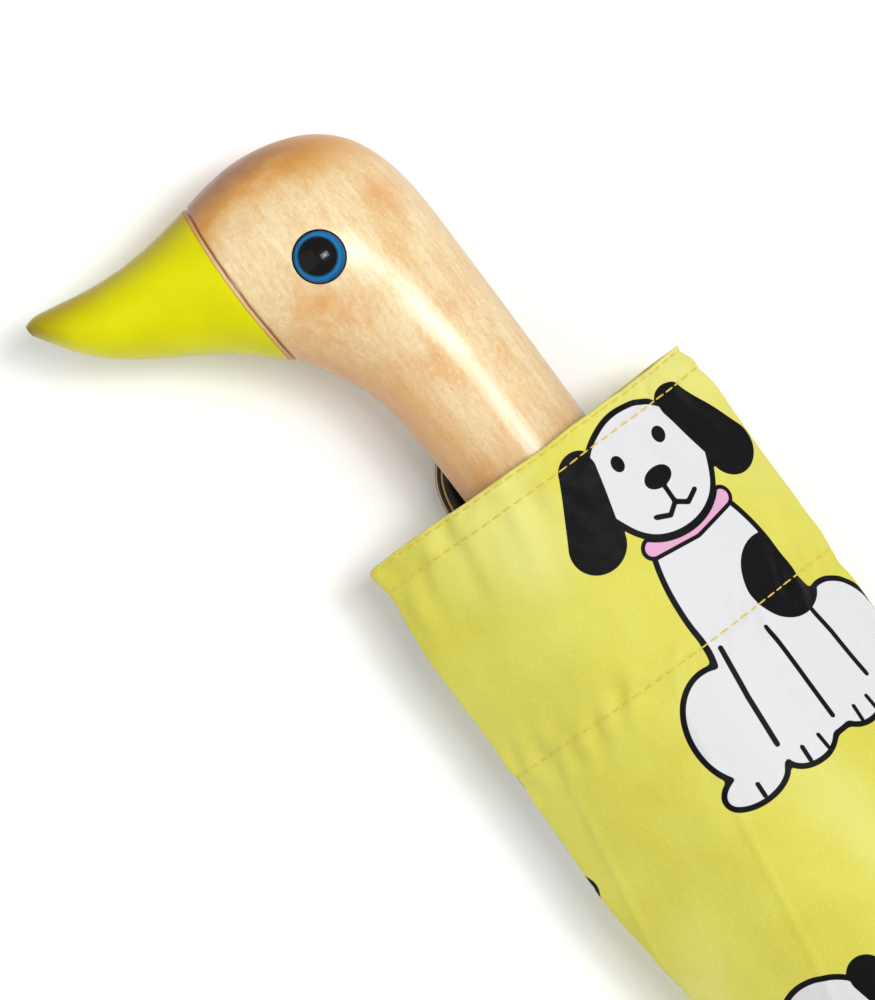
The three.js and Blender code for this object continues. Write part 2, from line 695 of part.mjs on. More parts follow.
place('sleeve', sleeve(), PRINTED_CLOTH);

const umbrella = new THREE.Group();
umbrella.add(packed);

export default umbrella;
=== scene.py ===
"""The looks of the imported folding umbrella, built round its CAD frame.

Shapes are worked out in millimetres in the handle's own axes (x from the sleeve's mouth along the
shaft, y across, z up from the shaft's axis) and placed in the frame's metres by to_frame().
"""

import json
import math
from functools import partial

import bpy
import numpy as np
from mathutils import Matrix, Vector


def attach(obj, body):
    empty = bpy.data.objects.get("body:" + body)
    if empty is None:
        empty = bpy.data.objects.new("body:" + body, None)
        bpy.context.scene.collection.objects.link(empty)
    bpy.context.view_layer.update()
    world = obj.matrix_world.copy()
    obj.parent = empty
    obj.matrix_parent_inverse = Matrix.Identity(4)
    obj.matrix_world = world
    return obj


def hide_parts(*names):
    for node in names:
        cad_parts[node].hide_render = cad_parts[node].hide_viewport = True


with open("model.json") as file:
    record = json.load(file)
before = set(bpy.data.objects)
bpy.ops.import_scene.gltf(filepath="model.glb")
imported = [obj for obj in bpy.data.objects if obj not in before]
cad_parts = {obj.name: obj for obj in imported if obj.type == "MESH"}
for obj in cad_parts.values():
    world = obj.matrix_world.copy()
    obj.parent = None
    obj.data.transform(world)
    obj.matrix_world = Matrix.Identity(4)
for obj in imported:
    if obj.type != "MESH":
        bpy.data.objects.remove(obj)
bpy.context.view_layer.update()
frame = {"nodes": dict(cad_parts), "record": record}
nodes = frame["nodes"]

MM = 0.001
MOUTH_X = -127.0  # the sleeve's mouth, in the frame
AXIS_Z = 21.5  # the shaft's axis over the table
TABLE_Z = -AXIS_Z + 0.02  # the lowest that cloth may lie
TAU = math.tau


def to_frame(points):
    """Millimetres in the handle's axes, as metres in the frame."""
    return (np.asarray(points, float) + np.array([MOUTH_X, 0.0, AXIS_Z])) * MM


# ------------------------ camera

VIEW_CENTRE = (-130.65 * MM, -17.6 * MM)
VIEW_HEIGHT = 183.5 * MM
VIEW_DISTANCE = 1.1
VIEW_RIGHT = Vector((0.5911, 0.8066, 0.0))
VIEW_UP = Vector((-0.8066, 0.5911, 0.0))
SENSOR = 36.0


def placed(position, *axes):
    """The matrix that puts something at position, with its own axes along these."""
    return Matrix.Translation(position) @ Matrix(axes).transposed().to_4x4()


def make_camera():
    data = bpy.data.cameras.new("camera")
    data.sensor_width = SENSOR
    data.lens = SENSOR * VIEW_DISTANCE / VIEW_HEIGHT
    camera = bpy.data.objects.new("camera", data)
    bpy.context.scene.collection.objects.link(camera)
    position = (*VIEW_CENTRE, AXIS_Z * MM + VIEW_DISTANCE)
    camera.matrix_world = placed(position, VIEW_RIGHT, VIEW_UP, Vector((0, 0, 1)))
    bpy.context.scene.camera = camera


make_camera()


# ------------------------ mesh helpers


def link(made):
    bpy.context.scene.collection.objects.link(made)
    return made


def new_mesh(name, points, faces, material, smooth=True):
    """A mesh object from points already in the frame."""
    data = bpy.data.meshes.new(name)
    data.from_pydata(np.asarray(points, float).reshape(-1, 3).tolist(), [], [list(f) for f in faces])
    data.validate()
    made = link(bpy.data.objects.new(name, data))
    data.materials.append(material)
    if smooth:
        data.shade_smooth()
    data.update()
    return made


def grid_faces(rows, columns, closed=True):
    """Quads of a grid of rows of columns, which closes on itself across the rows."""
    span = columns if closed else columns - 1
    r, c = np.meshgrid(np.arange(rows - 1), np.arange(span), indexing="ij")
    a = (r * columns + c).ravel()
    b = (r * columns + (c + 1) % columns).ravel()
    return np.stack([a, b, b + columns, a + columns], axis=1).tolist()


def tube_faces(rows, columns):
    """A grid closed on itself across the rows, with a face over each end."""
    ends = [list(range(columns))[::-1], [(rows - 1) * columns + k for k in range(columns)]]
    return grid_faces(rows, columns) + ends


def set_attribute(piece, name, values):
    made = piece.data.attributes.new(name, "FLOAT", "POINT")
    made.data.foreach_set("value", np.asarray(values, np.float32).ravel())


def thicken(piece, thickness, offset=-1.0):
    """offset -1 puts the thickness on the back of the faces."""
    modifier = piece.modifiers.new("thickness", "SOLIDIFY")
    modifier.thickness = thickness * MM
    modifier.offset = offset


def waves(points, wavelength, seed, count=12):
    """Smooth noise of about unit size over an array of points."""
    draw = np.random.default_rng(seed)
    total = np.zeros(points.shape[:-1])
    for _ in range(count):
        direction = unit(draw.normal(size=points.shape[-1]))
        length = wavelength * draw.uniform(0.7, 1.5)
        total += np.sin(points @ direction * TAU / length + draw.uniform(0, TAU))
    return total / math.sqrt(count)


def smoothstep(low, high, value):
    t = np.clip((value - low) / (high - low), 0, 1)
    return t * t * (3 - 2 * t)


def bell(value, centre, width):
    return np.exp(-(((value - centre) / width) ** 2))


def unit(vectors):
    return vectors / np.maximum(np.linalg.norm(vectors, axis=-1, keepdims=True), 1e-12)


def turns(count):
    return np.arange(count) / count * TAU


def rings_round(line, side, up, turn, radius):
    """A ring of points round each point of a line, at the angles turn from side towards up."""
    out = np.cos(turn)[None, :, None] * side[:, None, :] + np.sin(turn)[None, :, None] * up[:, None, :]
    return line[:, None, :] + radius * out


def step_lengths(line):
    return np.linalg.norm(np.diff(line, axis=0), axis=1)


def run_along(line):
    """The length of a line of points up to each of them."""
    return np.concatenate([[0], np.cumsum(step_lengths(line))])


def surface_normals(points):
    """Outward normals of a closed grid of rings, rows along x."""
    around = np.roll(points, -1, axis=1) - np.roll(points, 1, axis=1)
    along = np.gradient(points, axis=0)
    return unit(np.cross(along, around))


# ------------------------ material helpers


class Shade:
    """One node material, written as short expressions."""

    def __init__(self, name, **sockets):
        self.material = bpy.data.materials.new(name)
        self.material.use_nodes = True
        self.tree = self.material.node_tree
        self.tree.nodes.clear()
        out = self.tree.nodes.new("ShaderNodeOutputMaterial")
        self.surface = self.tree.nodes.new("ShaderNodeBsdfPrincipled")
        self.tree.links.new(self.surface.outputs[0], out.inputs[0])
        self.set(**sockets)

    def set(self, **sockets):
        for name, value in sockets.items():
            self.feed(self.surface.inputs[name.replace("_", " ")], value)

    def finished(self, **sockets):
        self.set(**sockets)
        return self.material

    def feed(self, socket, value):
        if isinstance(value, bpy.types.NodeSocket):
            self.tree.links.new(value, socket)
        elif isinstance(value, tuple) and len(value) == 3 and socket.type == "RGBA":
            socket.default_value = (*value, 1.0)
        else:
            socket.default_value = value

    def node(self, kind, inputs=None, **settings):
        made = self.tree.nodes.new("ShaderNode" + kind)
        for key, value in settings.items():
            setattr(made, key, value)
        for key, value in (inputs or {}).items():
            self.feed(made.inputs[key], value)
        return made

    def place(self, along=1.0):
        """The point being shaded, in millimetres, with its x times along, which draws patterns out."""
        point = self.node("TexCoord").outputs["Object"]
        scale = (along / MM, 1 / MM, 1 / MM)
        return self.node("Mapping", {"Vector": point, "Scale": scale}).outputs[0]

    def math(self, operation, a, b=0.0, c=0.0):
        return self.node("Math", {0: a, 1: b, 2: c}, operation=operation).outputs[0]

    def times(self, a, b):
        return self.math("MULTIPLY", a, b)

    def distance(self, value, centre):
        return self.math("ABSOLUTE", self.math("SUBTRACT", value, centre))

    def noise(self, scale, detail=2.0, roughness=0.5, where=None, distortion=0.0):
        inputs = {
            "Scale": scale,
            "Detail": detail,
            "Roughness": roughness,
            "Distortion": distortion,
            "Vector": where or self.place(),
        }
        return self.node("TexNoise", inputs).outputs[0]

    def step(self, value, low, high):
        """0 below low, 1 above high, smooth between; falls instead when low is over high."""
        inputs = {0: value, 1: low, 2: high, 3: 0.0, 4: 1.0}
        return self.node("MapRange", inputs, interpolation_type="SMOOTHSTEP").outputs[0]

    def spread(self, value, low=0.0, high=1.0):
        """A noise value, spread from low to high."""
        return self.node("MapRange", {0: value, 1: 0.3, 2: 0.7, 3: low, 4: high}).outputs[0]

    def mix(self, share, a, b):
        made = self.node("Mix", data_type="RGBA")
        for socket, value in zip((0, 6, 7), (share, a, b)):
            self.feed(made.inputs[socket], value)
        return made.outputs[2]

    def field(self, name):
        return self.node("Attribute", attribute_name=name).outputs["Fac"]

    def bump(self, height, distance, normal=None):
        inputs = {"Height": height, "Distance": distance * MM, "Strength": 1.0}
        if normal is not None:
            inputs["Normal"] = normal
        return self.node("Bump", inputs).outputs[0]


def srgb(red, green, blue):
    """A colour given in screen values, as the shader's linear ones."""
    unit = [c / 255 for c in (red, green, blue)]
    return tuple(c / 12.92 if c <= 0.04045 else ((c + 0.055) / 1.055) ** 2.4 for c in unit)


# ------------------------ handle: shape

# A point on the back edge of the profile, the facing point on the throat edge, and half the depth there.
HANDLE_STATIONS = [
    ((52, 12.6), (52, -12.6), 12.6),
    ((24, 13.3), (30, -13.3), 13.3),
    ((-2, 13.5), (8, -13.6), 13.5),
    ((-24, 13.5), (-6, -13.8), 13.6),
    ((-40, 13.3), (-16, -14.2), 14.0),
    ((-52, 13.0), (-23.5, -15.2), 15.0),
    ((-60.5, 11.4), (-28, -16.6), 16.2),
    ((-67, 8.3), (-31.5, -18.2), 17.2),
    ((-71.8, 3.0), (-34.5, -19.9), 17.9),
    ((-74.6, -4.0), (-37, -21.4), 18.1),
    ((-75.7, -11.5), (-38.9, -22.8), 17.9),
    ((-75.1, -18.5), (-40.3, -24.2), 17.3),
    ((-73.7, -25.5), (-42, -26), 16.2),
    ((-72.6, -33), (-48, -32.7), 14.4),
    ((-72.2, -40.5), (-53, -40.6), 12.6),
    ((-72.9, -48), (-57.9, -48.2), 10.8),
    ((-74, -54), (-63.3, -54), 8.8),
    ((-74.5, -57.6), (-68.3, -57.5), 6.0),
    ((-74, -59.6), (-71.5, -59.5), 2.6),
]
HANDLE_SIDES = 160
PROFILE_STEPS = 1400
PROFILE_EVENING = 500
RING_SPACING = 0.6
TIP_RINGS = 8
TIP_LENGTH = 0.35
GROOVE_SPACING = 0.16
GROOVE_DEPTH = 0.4
GROOVE_WIDTH = 0.32
GROOVE_FOOT_X, GROOVE_FOOT_Y = -56.4, -24.35
GROOVE_OPENING = 17.0
GROOVE_REACH = 1.4
GLOSS_MARGIN = 0.3  # how far past the groove the paint's gloss begins
CLOSE_Y = -24.0  # the rings' middle height at the groove
CLOSE_BAND = (3.2, 1.8)
EYE_CENTRE = np.array([-51.7, -8.85])
EYE_RADIUS = 4.92
EYE_SEAT = 16.0
EYE_RIM = 1.05
EYE_DOME = 2.9
SOCKET_RADIUS = 5.0
SOCKET_SIDES = 96
SOCKET_SINK = 0.4
PAST_HEAD = 30.0


def groove_y(x):
    """The scored line between the head and the beak bows towards the beak."""
    along = np.minimum((x - GROOVE_FOOT_X) / GROOVE_OPENING, GROOVE_REACH)
    return GROOVE_FOOT_Y + along**2


def curve_through(points, at):
    """Centripetal Catmull-Rom curve through points, at parameters counted in points."""
    points = np.asarray(points, float)
    whole = np.concatenate([[2 * points[0] - points[1]], points, [2 * points[-1] - points[-2]]])
    index = np.clip(np.floor(at).astype(int), 0, len(points) - 2)
    t = (at - index)[:, None]
    p0, p1, p2, p3 = (whole[index + k] for k in range(4))
    spans = (p1 - p0, p2 - p1, p3 - p2)
    gap = [np.sqrt(np.linalg.norm(span, axis=1, keepdims=True)) for span in spans]
    start = ((p1 - p0) / gap[0] - (p2 - p0) / (gap[0] + gap[1]) + (p2 - p1) / gap[1]) * gap[1]
    end = ((p2 - p1) / gap[1] - (p3 - p1) / (gap[1] + gap[2]) + (p3 - p2) / gap[2]) * gap[1]
    square = 3 * (p2 - p1) - 2 * start - end
    cube = 2 * (p1 - p2) + start + end
    return p1 + start * t + square * t**2 + cube * t**3


def softened(values, passes):
    """Evens out small wobbles along a curve and keeps its ends."""
    values = values.copy()
    for _ in range(passes):
        values[1:-1] = (values[:-2] + 2 * values[1:-1] + values[2:]) / 4
    return values


def handle_rings():
    """Back point, throat point and half depth of each ring, closer together at the groove."""
    at = np.linspace(0, len(HANDLE_STATIONS) - 1, PROFILE_STEPS)
    backs = curve_through([(*b, d) for b, _, d in HANDLE_STATIONS], at)
    throats = curve_through([t for _, t, _ in HANDLE_STATIONS], at)
    backs, throats = softened(backs, PROFILE_EVENING), softened(throats, PROFILE_EVENING)
    travel = (step_lengths(backs[:, :2]) + step_lengths(throats)) / 2
    middle_y = (backs[:, 1] + throats[:, 1]) / 2
    close = smoothstep(*CLOSE_BAND, np.abs(middle_y - CLOSE_Y))
    spacing = RING_SPACING + (GROOVE_SPACING - RING_SPACING) * close
    count = np.concatenate([[0], np.cumsum(travel / spacing[1:])])
    picked = np.interp(np.linspace(0, count[-1], int(count[-1]) + 1), count, np.arange(len(at)))

    def take(values):
        return np.stack([np.interp(picked, np.arange(len(at)), v) for v in values.T], axis=1)

    return take(backs), take(throats)


def handle_points():
    backs, throats = handle_rings()
    angle = turns(HANDLE_SIDES)
    along = (1 + np.cos(angle)) / 2
    points = np.empty((len(backs), HANDLE_SIDES, 3))
    depth = backs[:, None, :2] - throats[:, None, :]
    points[:, :, :2] = throats[:, None, :] + depth * along[None, :, None]
    points[:, :, 2] = backs[:, None, 2] * np.sin(angle)[None, :]
    # The beak's tip is rounded off by rings that shrink onto a point just beyond the last one.
    last = points[-1]
    centre = last.mean(axis=0)
    ahead = np.array([-0.25, -1.0, 0.0])
    tip = [
        centre + (last - centre) * math.cos(a) + ahead * math.sin(a) * TIP_LENGTH
        for a in np.linspace(0.2, 1.52, TIP_RINGS)
    ]
    points = np.concatenate([points, np.array(tip)])
    off = points[:, :, 1] - groove_y(points[:, :, 0])
    groove = -GROOVE_DEPTH * bell(off, 0, GROOVE_WIDTH)
    return points + surface_normals(points) * groove[:, :, None]


def upright_rings(centre, heights, radii, count, side=1):
    """Rings round the z line through centre, which turn the other way for side -1."""
    line = np.array([(*centre, height) for height in heights])
    right = np.tile((1.0, 0.0, 0.0), (len(line), 1))
    back = np.tile((0.0, side, 0.0), (len(line), 1))
    return rings_round(line, right, back, turns(count), np.asarray(radii)[:, None, None])


def carve(piece, points, faces, material):
    """Takes a closed solid out of a mesh."""
    tool = new_mesh("carving_tool", to_frame(points), faces, material, smooth=False)
    cut = piece.modifiers.new("cut", "BOOLEAN")
    cut.operation, cut.solver, cut.object = "DIFFERENCE", "EXACT", tool
    bpy.context.view_layer.update()
    finished = piece.evaluated_get(bpy.context.evaluated_depsgraph_get())
    result = bpy.data.meshes.new_from_object(finished)
    piece.modifiers.clear()
    piece.data = result
    bpy.data.objects.remove(tool)


def make_handle(wood, paint):
    points = handle_points()
    handle = new_mesh("handle_wood", to_frame(points), tube_faces(*points.shape[:2]), wood)
    handle.data.flip_normals()
    for side in (1, -1):
        heights = sorted((side * (EYE_SEAT - SOCKET_SINK), side * PAST_HEAD))
        socket = upright_rings(EYE_CENTRE, heights, [SOCKET_RADIUS] * 2, SOCKET_SIDES)
        carve(handle, socket, tube_faces(2, SOCKET_SIDES), wood)
    handle.data.materials.append(paint)
    for face in handle.data.polygons:
        x, y = face.center[0] / MM - MOUTH_X, face.center[1] / MM
        face.material_index = int(y < groove_y(x) - GLOSS_MARGIN)
    handle.data.shade_smooth()
    handle.data.set_sharp_from_angle(angle=math.radians(50))
    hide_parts("wooden_handle")
    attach(handle, "handle")


# ------------------------ handle: materials


# Browner clouds in the wood: a place, how far it is full, and how strong.
STAIN_CLOUDS = [
    ((-46.0, -14.5), 3.5, 0.70),
    ((-40.5, -19.0), 2.5, 0.60),
    ((-42.0, -11.0), 3.5, 0.40),
    ((-55.0, 10.5), 5.5, 0.55),
    ((-24.0, -11.5), 5.0, 0.32),
]
CLOUD_Z = AXIS_Z + 14.0
CLOUD_FADE = 7.5
CLOUD_RAGGED = 7.0
BARE_RING = 0.9  # how far from the groove the paint begins


def stain(shade, base, amount, strength, colour):
    return shade.mix(shade.times(amount, strength), base, colour)


def bare_wood(shade, grain, pores):
    """Light wood with its figure, blotches, speckles and pores."""
    figure = shade.noise(0.055, 3.0, 0.55, shade.place(0.7), 1.2)
    blotch = shade.noise(0.16, 5.0, 0.62, shade.place(0.55), 0.4)
    speckle = shade.noise(1.5, 4.0, 0.75, shade.place(0.6))
    base = shade.mix(shade.spread(grain), srgb(230, 212, 171), srgb(219, 189, 136))
    for pattern, low, high, strength, colour in (
        (figure, 0.46, 0.80, 0.60, srgb(208, 144, 68)),
        (blotch, 0.52, 0.80, 0.34, srgb(204, 138, 62)),
        (speckle, 0.50, 0.72, 0.34, srgb(206, 150, 80)),
        (speckle, 0.50, 0.30, 0.34, srgb(248, 234, 200)),
        (pores, 0.60, 0.72, 0.30, srgb(180, 122, 66)),
    ):
        base = stain(shade, base, shade.step(pattern, low, high), strength, colour)
    for (x, y), size, strength in STAIN_CLOUDS:
        ends = {0: shade.place(), 1: (x + MOUTH_X, y, CLOUD_Z)}
        away = shade.node("VectorMath", ends, operation="DISTANCE").outputs[1]
        away = shade.math("MULTIPLY_ADD", shade.noise(0.24, 4.0, 0.65), CLOUD_RAGGED, away)
        base = stain(shade, base, shade.step(away, size + CLOUD_FADE, size), strength, srgb(206, 138, 58))
    return base


def painted_wood_shade(shade, base, x, y, side):
    """Painted shade, browner, round the profile's edge, at the throat, on top of the head and next to the
    sleeve.
    """
    ragged = shade.math("MULTIPLY_ADD", shade.noise(0.2, 3.0, 0.6), 6.0, side)
    # Painted shade round the profile's edge, half as strong on the back side, which faces the light.
    back_share = shade.math("MULTIPLY_ADD", shade.step(y, 3.0, 10.0), -0.5, 1.0)
    edge = shade.times(shade.step(ragged, 14.0, 3.5), back_share)
    base = stain(shade, base, edge, 0.66, srgb(176, 108, 38))
    # Painted shade on the neck's throat side, which faces away from the light.
    throat = shade.times(shade.step(ragged, 19.0, 11.0), shade.step(y, -2.0, -8.0))
    throat = shade.times(throat, shade.step(x, -56.0, -44.0))
    base = stain(shade, base, throat, 0.50, srgb(204, 138, 56))
    # Painted shade round the head's edge, darker still towards its far end.
    head_edge_shade = shade.times(shade.step(x, -57.0, -70.0), shade.step(ragged, 21.8, 14.5))
    base = stain(shade, base, head_edge_shade, 0.90, srgb(202, 138, 40))
    crown = shade.times(shade.step(x, -61.0, -72.0), shade.step(ragged, 17.5, 9.5))
    crown = shade.times(crown, shade.step(y, 10.0, -12.0))
    base = stain(shade, base, crown, 0.90, srgb(126, 68, 12))
    # Painted contact shadow on the neck next to the sleeve.
    sleeve_contact_shadow = shade.step(x, -14.0, 6.0)
    return stain(shade, base, sleeve_contact_shadow, 0.42, srgb(186, 122, 58))


def past_groove(shade, x, y):
    """How far a point lies past the groove's middle towards the beak, with a little wander."""
    wander = shade.math("MULTIPLY_ADD", shade.noise(0.5, 3.0), 0.24, -0.12)
    bow = shade.times(shade.math("SUBTRACT", x, GROOVE_FOOT_X), 1 / GROOVE_OPENING)
    bow = shade.math("MINIMUM", bow, GROOVE_REACH)
    bow = shade.math("MULTIPLY_ADD", bow, bow, GROOVE_FOOT_Y)
    return shade.math("ADD", shade.math("SUBTRACT", bow, y), wander)


def scored(shade, base, off):
    """The dark scored line and the bare ring between it and the paint."""
    bare = shade.times(shade.step(off, 0.1, 0.3), shade.step(off, 1.3, 0.9))
    base = stain(shade, base, bare, 0.45, srgb(206, 156, 90))
    line = shade.step(shade.math("ABSOLUTE", off), 0.32, 0.10)
    base = stain(shade, base, line, 0.84, srgb(104, 50, 14))
    paint_edge = shade.step(shade.distance(off, BARE_RING), 0.22, 0.06)
    return stain(shade, base, paint_edge, 0.55, srgb(120, 74, 24))


def yellow_paint(shade, x, y, side):
    """Yellow, with painted shade along the beak's upper bend and its edge, and darker at its tip."""
    cloud = shade.noise(0.09, 2.0)
    paint = shade.mix(shade.spread(cloud), srgb(217, 215, 6), srgb(207, 203, 6))
    # Painted shade along the beak's upper bend, then round its edge.
    bend = shade.times(shade.step(x, -63.0, -74.0), shade.step(side, 16.5, 5.0))
    paint = stain(shade, paint, bend, 0.80, srgb(146, 120, 6))
    paint = stain(shade, paint, shade.step(side, 6.0, 0.5), 0.35, srgb(176, 158, 22))
    return stain(shade, paint, shade.step(y, -56.5, -61.0), 0.6, srgb(112, 84, 12))


def wood_and_paint(name, coat, coat_roughness, specular):
    """The handle's colours, under a gloss that is the varnish's on the wood and the paint's on the beak."""
    shade = Shade(name, Coat_Weight=coat, Coat_Roughness=coat_roughness, Coat_IOR=1.9, IOR=1.4)
    shade.set(Specular_IOR_Level=specular)
    grain = shade.noise(0.55, 4.0, 0.6, shade.place(0.10), 0.6)
    pores = shade.noise(2.6, 2.0, 0.6, shade.place(0.14))
    axes = shade.node("SeparateXYZ", {0: shade.place()}).outputs
    x, y, side = shade.math("SUBTRACT", axes[0], MOUTH_X), axes[1], shade.distance(axes[2], AXIS_Z)
    off = past_groove(shade, x, y)
    wood = scored(shade, painted_wood_shade(shade, bare_wood(shade, grain, pores), x, y, side), off)
    painted = shade.step(off, BARE_RING - 0.04, BARE_RING + 0.1)
    rough = shade.spread(shade.noise(0.35, 4.0, 0.6), 0.28, 0.42)
    height = shade.math("MULTIPLY_ADD", pores, 0.4, shade.times(grain, 0.5))
    height = shade.times(height, shade.math("MULTIPLY_ADD", painted, -0.9, 1.0))
    return shade.finished(
        Base_Color=shade.mix(painted, wood, yellow_paint(shade, x, y, side)),
        Roughness=shade.math("MULTIPLY_ADD", painted, -0.06, rough),
        Normal=shade.bump(shade.noise(0.12, 2.0), 0.08, shade.bump(height, 0.04)),
    )


PUPIL_OFFSET = np.array([-0.16, -0.22])
PUPIL_EDGE = (3.90, 3.34)
# The dark ring at the eye's edge is painted shade of the gap round the eye.
RIM_SHADE_EDGE = (4.58, 4.78)
# Painted light: a brighter band in the iris round the pupil, standing in for the clear dome's caustic.
PAINTED_GLOW_RADIUS = 4.05
EYE_SEGMENTS = 72
DOME_STEPS = 22


def eye_material():
    shade = Shade("eye_plastic", Coat_Weight=0.25, Coat_Roughness=0.12, Coat_IOR=1.7, IOR=1.4)
    shade.set(Specular_IOR_Level=0.05)
    radius, from_pupil = shade.field("from_axis"), shade.field("from_pupil")
    streak = shade.noise(1.6, 3.0, 0.6)
    iris = shade.mix(shade.spread(streak), srgb(4, 72, 122), srgb(10, 94, 148))
    # Painted light: the iris made brighter round the pupil.
    painted_glow = shade.step(shade.distance(from_pupil, PAINTED_GLOW_RADIUS), 0.6, 0.0)
    iris = shade.mix(shade.times(painted_glow, 0.75), iris, srgb(18, 120, 176))
    # Painted shade: a dark ring at the eye's edge.
    colour = shade.mix(shade.step(radius, *RIM_SHADE_EDGE), iris, srgb(6, 16, 28))
    colour = shade.mix(shade.step(from_pupil, *PUPIL_EDGE), colour, srgb(1, 1, 2))
    return shade.finished(Base_Color=colour, Roughness=shade.spread(shade.noise(0.8, 3.0), 0.28, 0.40))


def eye_profile():
    """Height and radius of each ring, from the seat over the rim and up the dome."""
    profile = [(0.3, 4.80), (0.0, 4.95), (-0.02, EYE_RADIUS), (0.9, EYE_RADIUS)]
    for angle in np.linspace(0.06, math.pi / 2, DOME_STEPS)[:-1]:
        reach = math.cos(angle)
        rise = EYE_DOME * (0.5 * math.sin(angle) + 0.5 * (1 - reach**2))
        profile.append((EYE_RIM + rise, EYE_RADIUS * reach))
    return np.array(profile)


def make_eye(name, node, side, material):
    """A domed eye with a short rim, whose axis is z. side is 1 for the upper face and -1 for the lower."""
    profile = eye_profile()
    heights = side * (EYE_SEAT + profile[:, 0])
    points = upright_rings(EYE_CENTRE, heights, profile[:, 1], EYE_SEGMENTS, side)
    pole = [[*EYE_CENTRE, side * (EYE_SEAT + EYE_RIM + EYE_DOME)]]
    whole = np.concatenate([points.reshape(-1, 3), pole])
    faces = grid_faces(len(profile), EYE_SEGMENTS)
    top = (len(profile) - 1) * EYE_SEGMENTS
    faces += [(top + k, top + (k + 1) % EYE_SEGMENTS, len(whole) - 1) for k in range(EYE_SEGMENTS)]
    faces.append(list(range(EYE_SEGMENTS))[::-1])
    eye = new_mesh(name, to_frame(whole), faces, material)
    radii = np.concatenate([np.repeat(profile[:, 1], EYE_SEGMENTS), [0.0]])
    set_attribute(eye, "from_axis", radii)
    off_centre = whole[:, :2] - EYE_CENTRE - PUPIL_OFFSET
    set_attribute(eye, "from_pupil", np.linalg.norm(off_centre, axis=1))
    eye.data.set_sharp_from_angle(angle=math.radians(45))
    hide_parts(node)
    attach(eye, "handle")


varnished = wood_and_paint("varnished_wood", coat=0.30, coat_roughness=0.20, specular=0.15)
painted_beak = wood_and_paint("painted_beak", coat=0.04, coat_roughness=0.30, specular=0.06)
make_handle(varnished, painted_beak)
eye_shade = eye_material()
make_eye("eye_upper", "upper_eye", 1, eye_shade)
make_eye("eye_under", "lower_eye", -1, eye_shade)


# ------------------------ the printed dog
# Signed distances in millimetres, below 0 inside. a runs down the dog from its head, b across it.

OUTLINE = 0.55


def oval(a, b, at, size):
    u, v = a - at[0], b - at[1]
    inner = np.hypot(u / size[0], v / size[1])
    slope = np.hypot(u / size[0] ** 2, v / size[1] ** 2)
    return inner * (inner - 1) / np.maximum(slope, 1e-9)


def limb(a, b, start, end, wide, narrow):
    """A rounded bar from start to end, of radius wide at start and narrow at end."""
    u, v = end[0] - start[0], end[1] - start[1]
    t = np.clip(((a - start[0]) * u + (b - start[1]) * v) / (u * u + v * v), 0, 1)
    return np.hypot(a - start[0] - t * u, b - start[1] - t * v) - (wide + (narrow - wide) * t)


def pen_line(a, b, points, radius=0.5):
    return joined(*(limb(a, b, p, q, radius, radius) for p, q in zip(points, points[1:])))


def joined(*parts, blend=0.0):
    total = parts[0]
    for part in parts[1:]:
        if blend:
            share = np.clip(0.5 + 0.5 * (part - total) / blend, 0, 1)
            total = part + (total - part) * share - blend * share * (1 - share)
        else:
            total = np.minimum(total, part)
    return total


DOG_MIDDLE = (38, 18)
DOG_REACH = 48


def dog(a, b):
    """A plain sitting dog seen from the front, the same to both sides but for one patch.

    Returns the distances to the ink under it, its white, its pink, and the ink drawn over them.
    """
    side = np.abs(b - DOG_MIDDLE[1])
    blob, bar, pen = (partial(shape, a, side) for shape in (oval, limb, pen_line))
    head = joined(blob((14.0, 0.0), (11.5, 12.5)), blob((20.5, 0.0), (6.5, 9.0)), blend=3)
    ear = bar((7.5, 12.0), (20.0, 16.4), 3.4, 4.8)
    trunk = joined(blob((42.0, 0.0), (24.0, 11.5)), blob((60.0, 0.0), (13.0, 15.0)), blend=6)
    haunch = blob((61.0, 15.0), (11.5, 8.5))
    foot = joined(blob((71.0, 6.6), (4.0, 5.4)), blob((71.4, 18.5), (3.6, 6.2)))
    body = joined(trunk, haunch, foot, blend=0.8)
    patch = oval(a, b, (44.0, 27.0), (8.0, 7.0))
    under = joined(head, ear, body) - OUTLINE
    white = joined(head, np.maximum(body, -patch)) + OUTLINE

    collar = np.maximum(bar((27.6, 0.0), (26.4, 8.5), 1.9, 1.9), OUTLINE - head)
    over = joined(
        ear,
        np.abs(head) - OUTLINE,
        np.abs(collar) - 0.4,
        blob((16.6, 0.0), (2.0, 3.0)),
        blob((10.4, 5.2), (1.6, 1.3)),
        pen([(18.0, 0.0), (22.0, 0.0)]),
        pen([(22.0, 0.0), (23.5, 2.2), (22.3, 4.8)]),
        pen([(50.0, 0.0), (70.0, 0.0)]),
        pen([(48.0, 9.4), (58.0, 10.8), (68.0, 11.6)]),
        pen([(71.0, 4.8), (74.0, 4.6)], 0.42),
        pen([(71.0, 8.4), (74.0, 8.6)], 0.42),
        pen([(71.6, 18.4), (74.2, 18.6)], 0.42),
    )
    return under, white, collar, over


PRINT_FIELDS = ("print_under", "print_white", "print_pink", "print_over")
FAR_OFF = 9.0


def print_fields(x, s, spots, around=None):
    """The print's distances at fabric points (x, s), where s repeats every around.

    Each spot is a dog's x, s and turn about its middle.
    """
    middle_a, middle_b = DOG_MIDDLE
    fields = [np.full(x.shape, FAR_OFF) for _ in PRINT_FIELDS]
    for spot_x, spot_s, turn in spots:
        c, w = math.cos(turn), math.sin(turn)
        for lap in (-1, 0, 1) if around else (0,):
            u, v = x - spot_x - middle_a, s - spot_s - middle_b - lap * (around or 0)
            near = np.hypot(u, v) < DOG_REACH
            u, v = u[near], v[near]
            found = dog(u * c + v * w + middle_a, v * c - u * w + middle_b)
            for field, distance in zip(fields, found):
                field[near] = np.minimum(field[near], distance)
    return fields


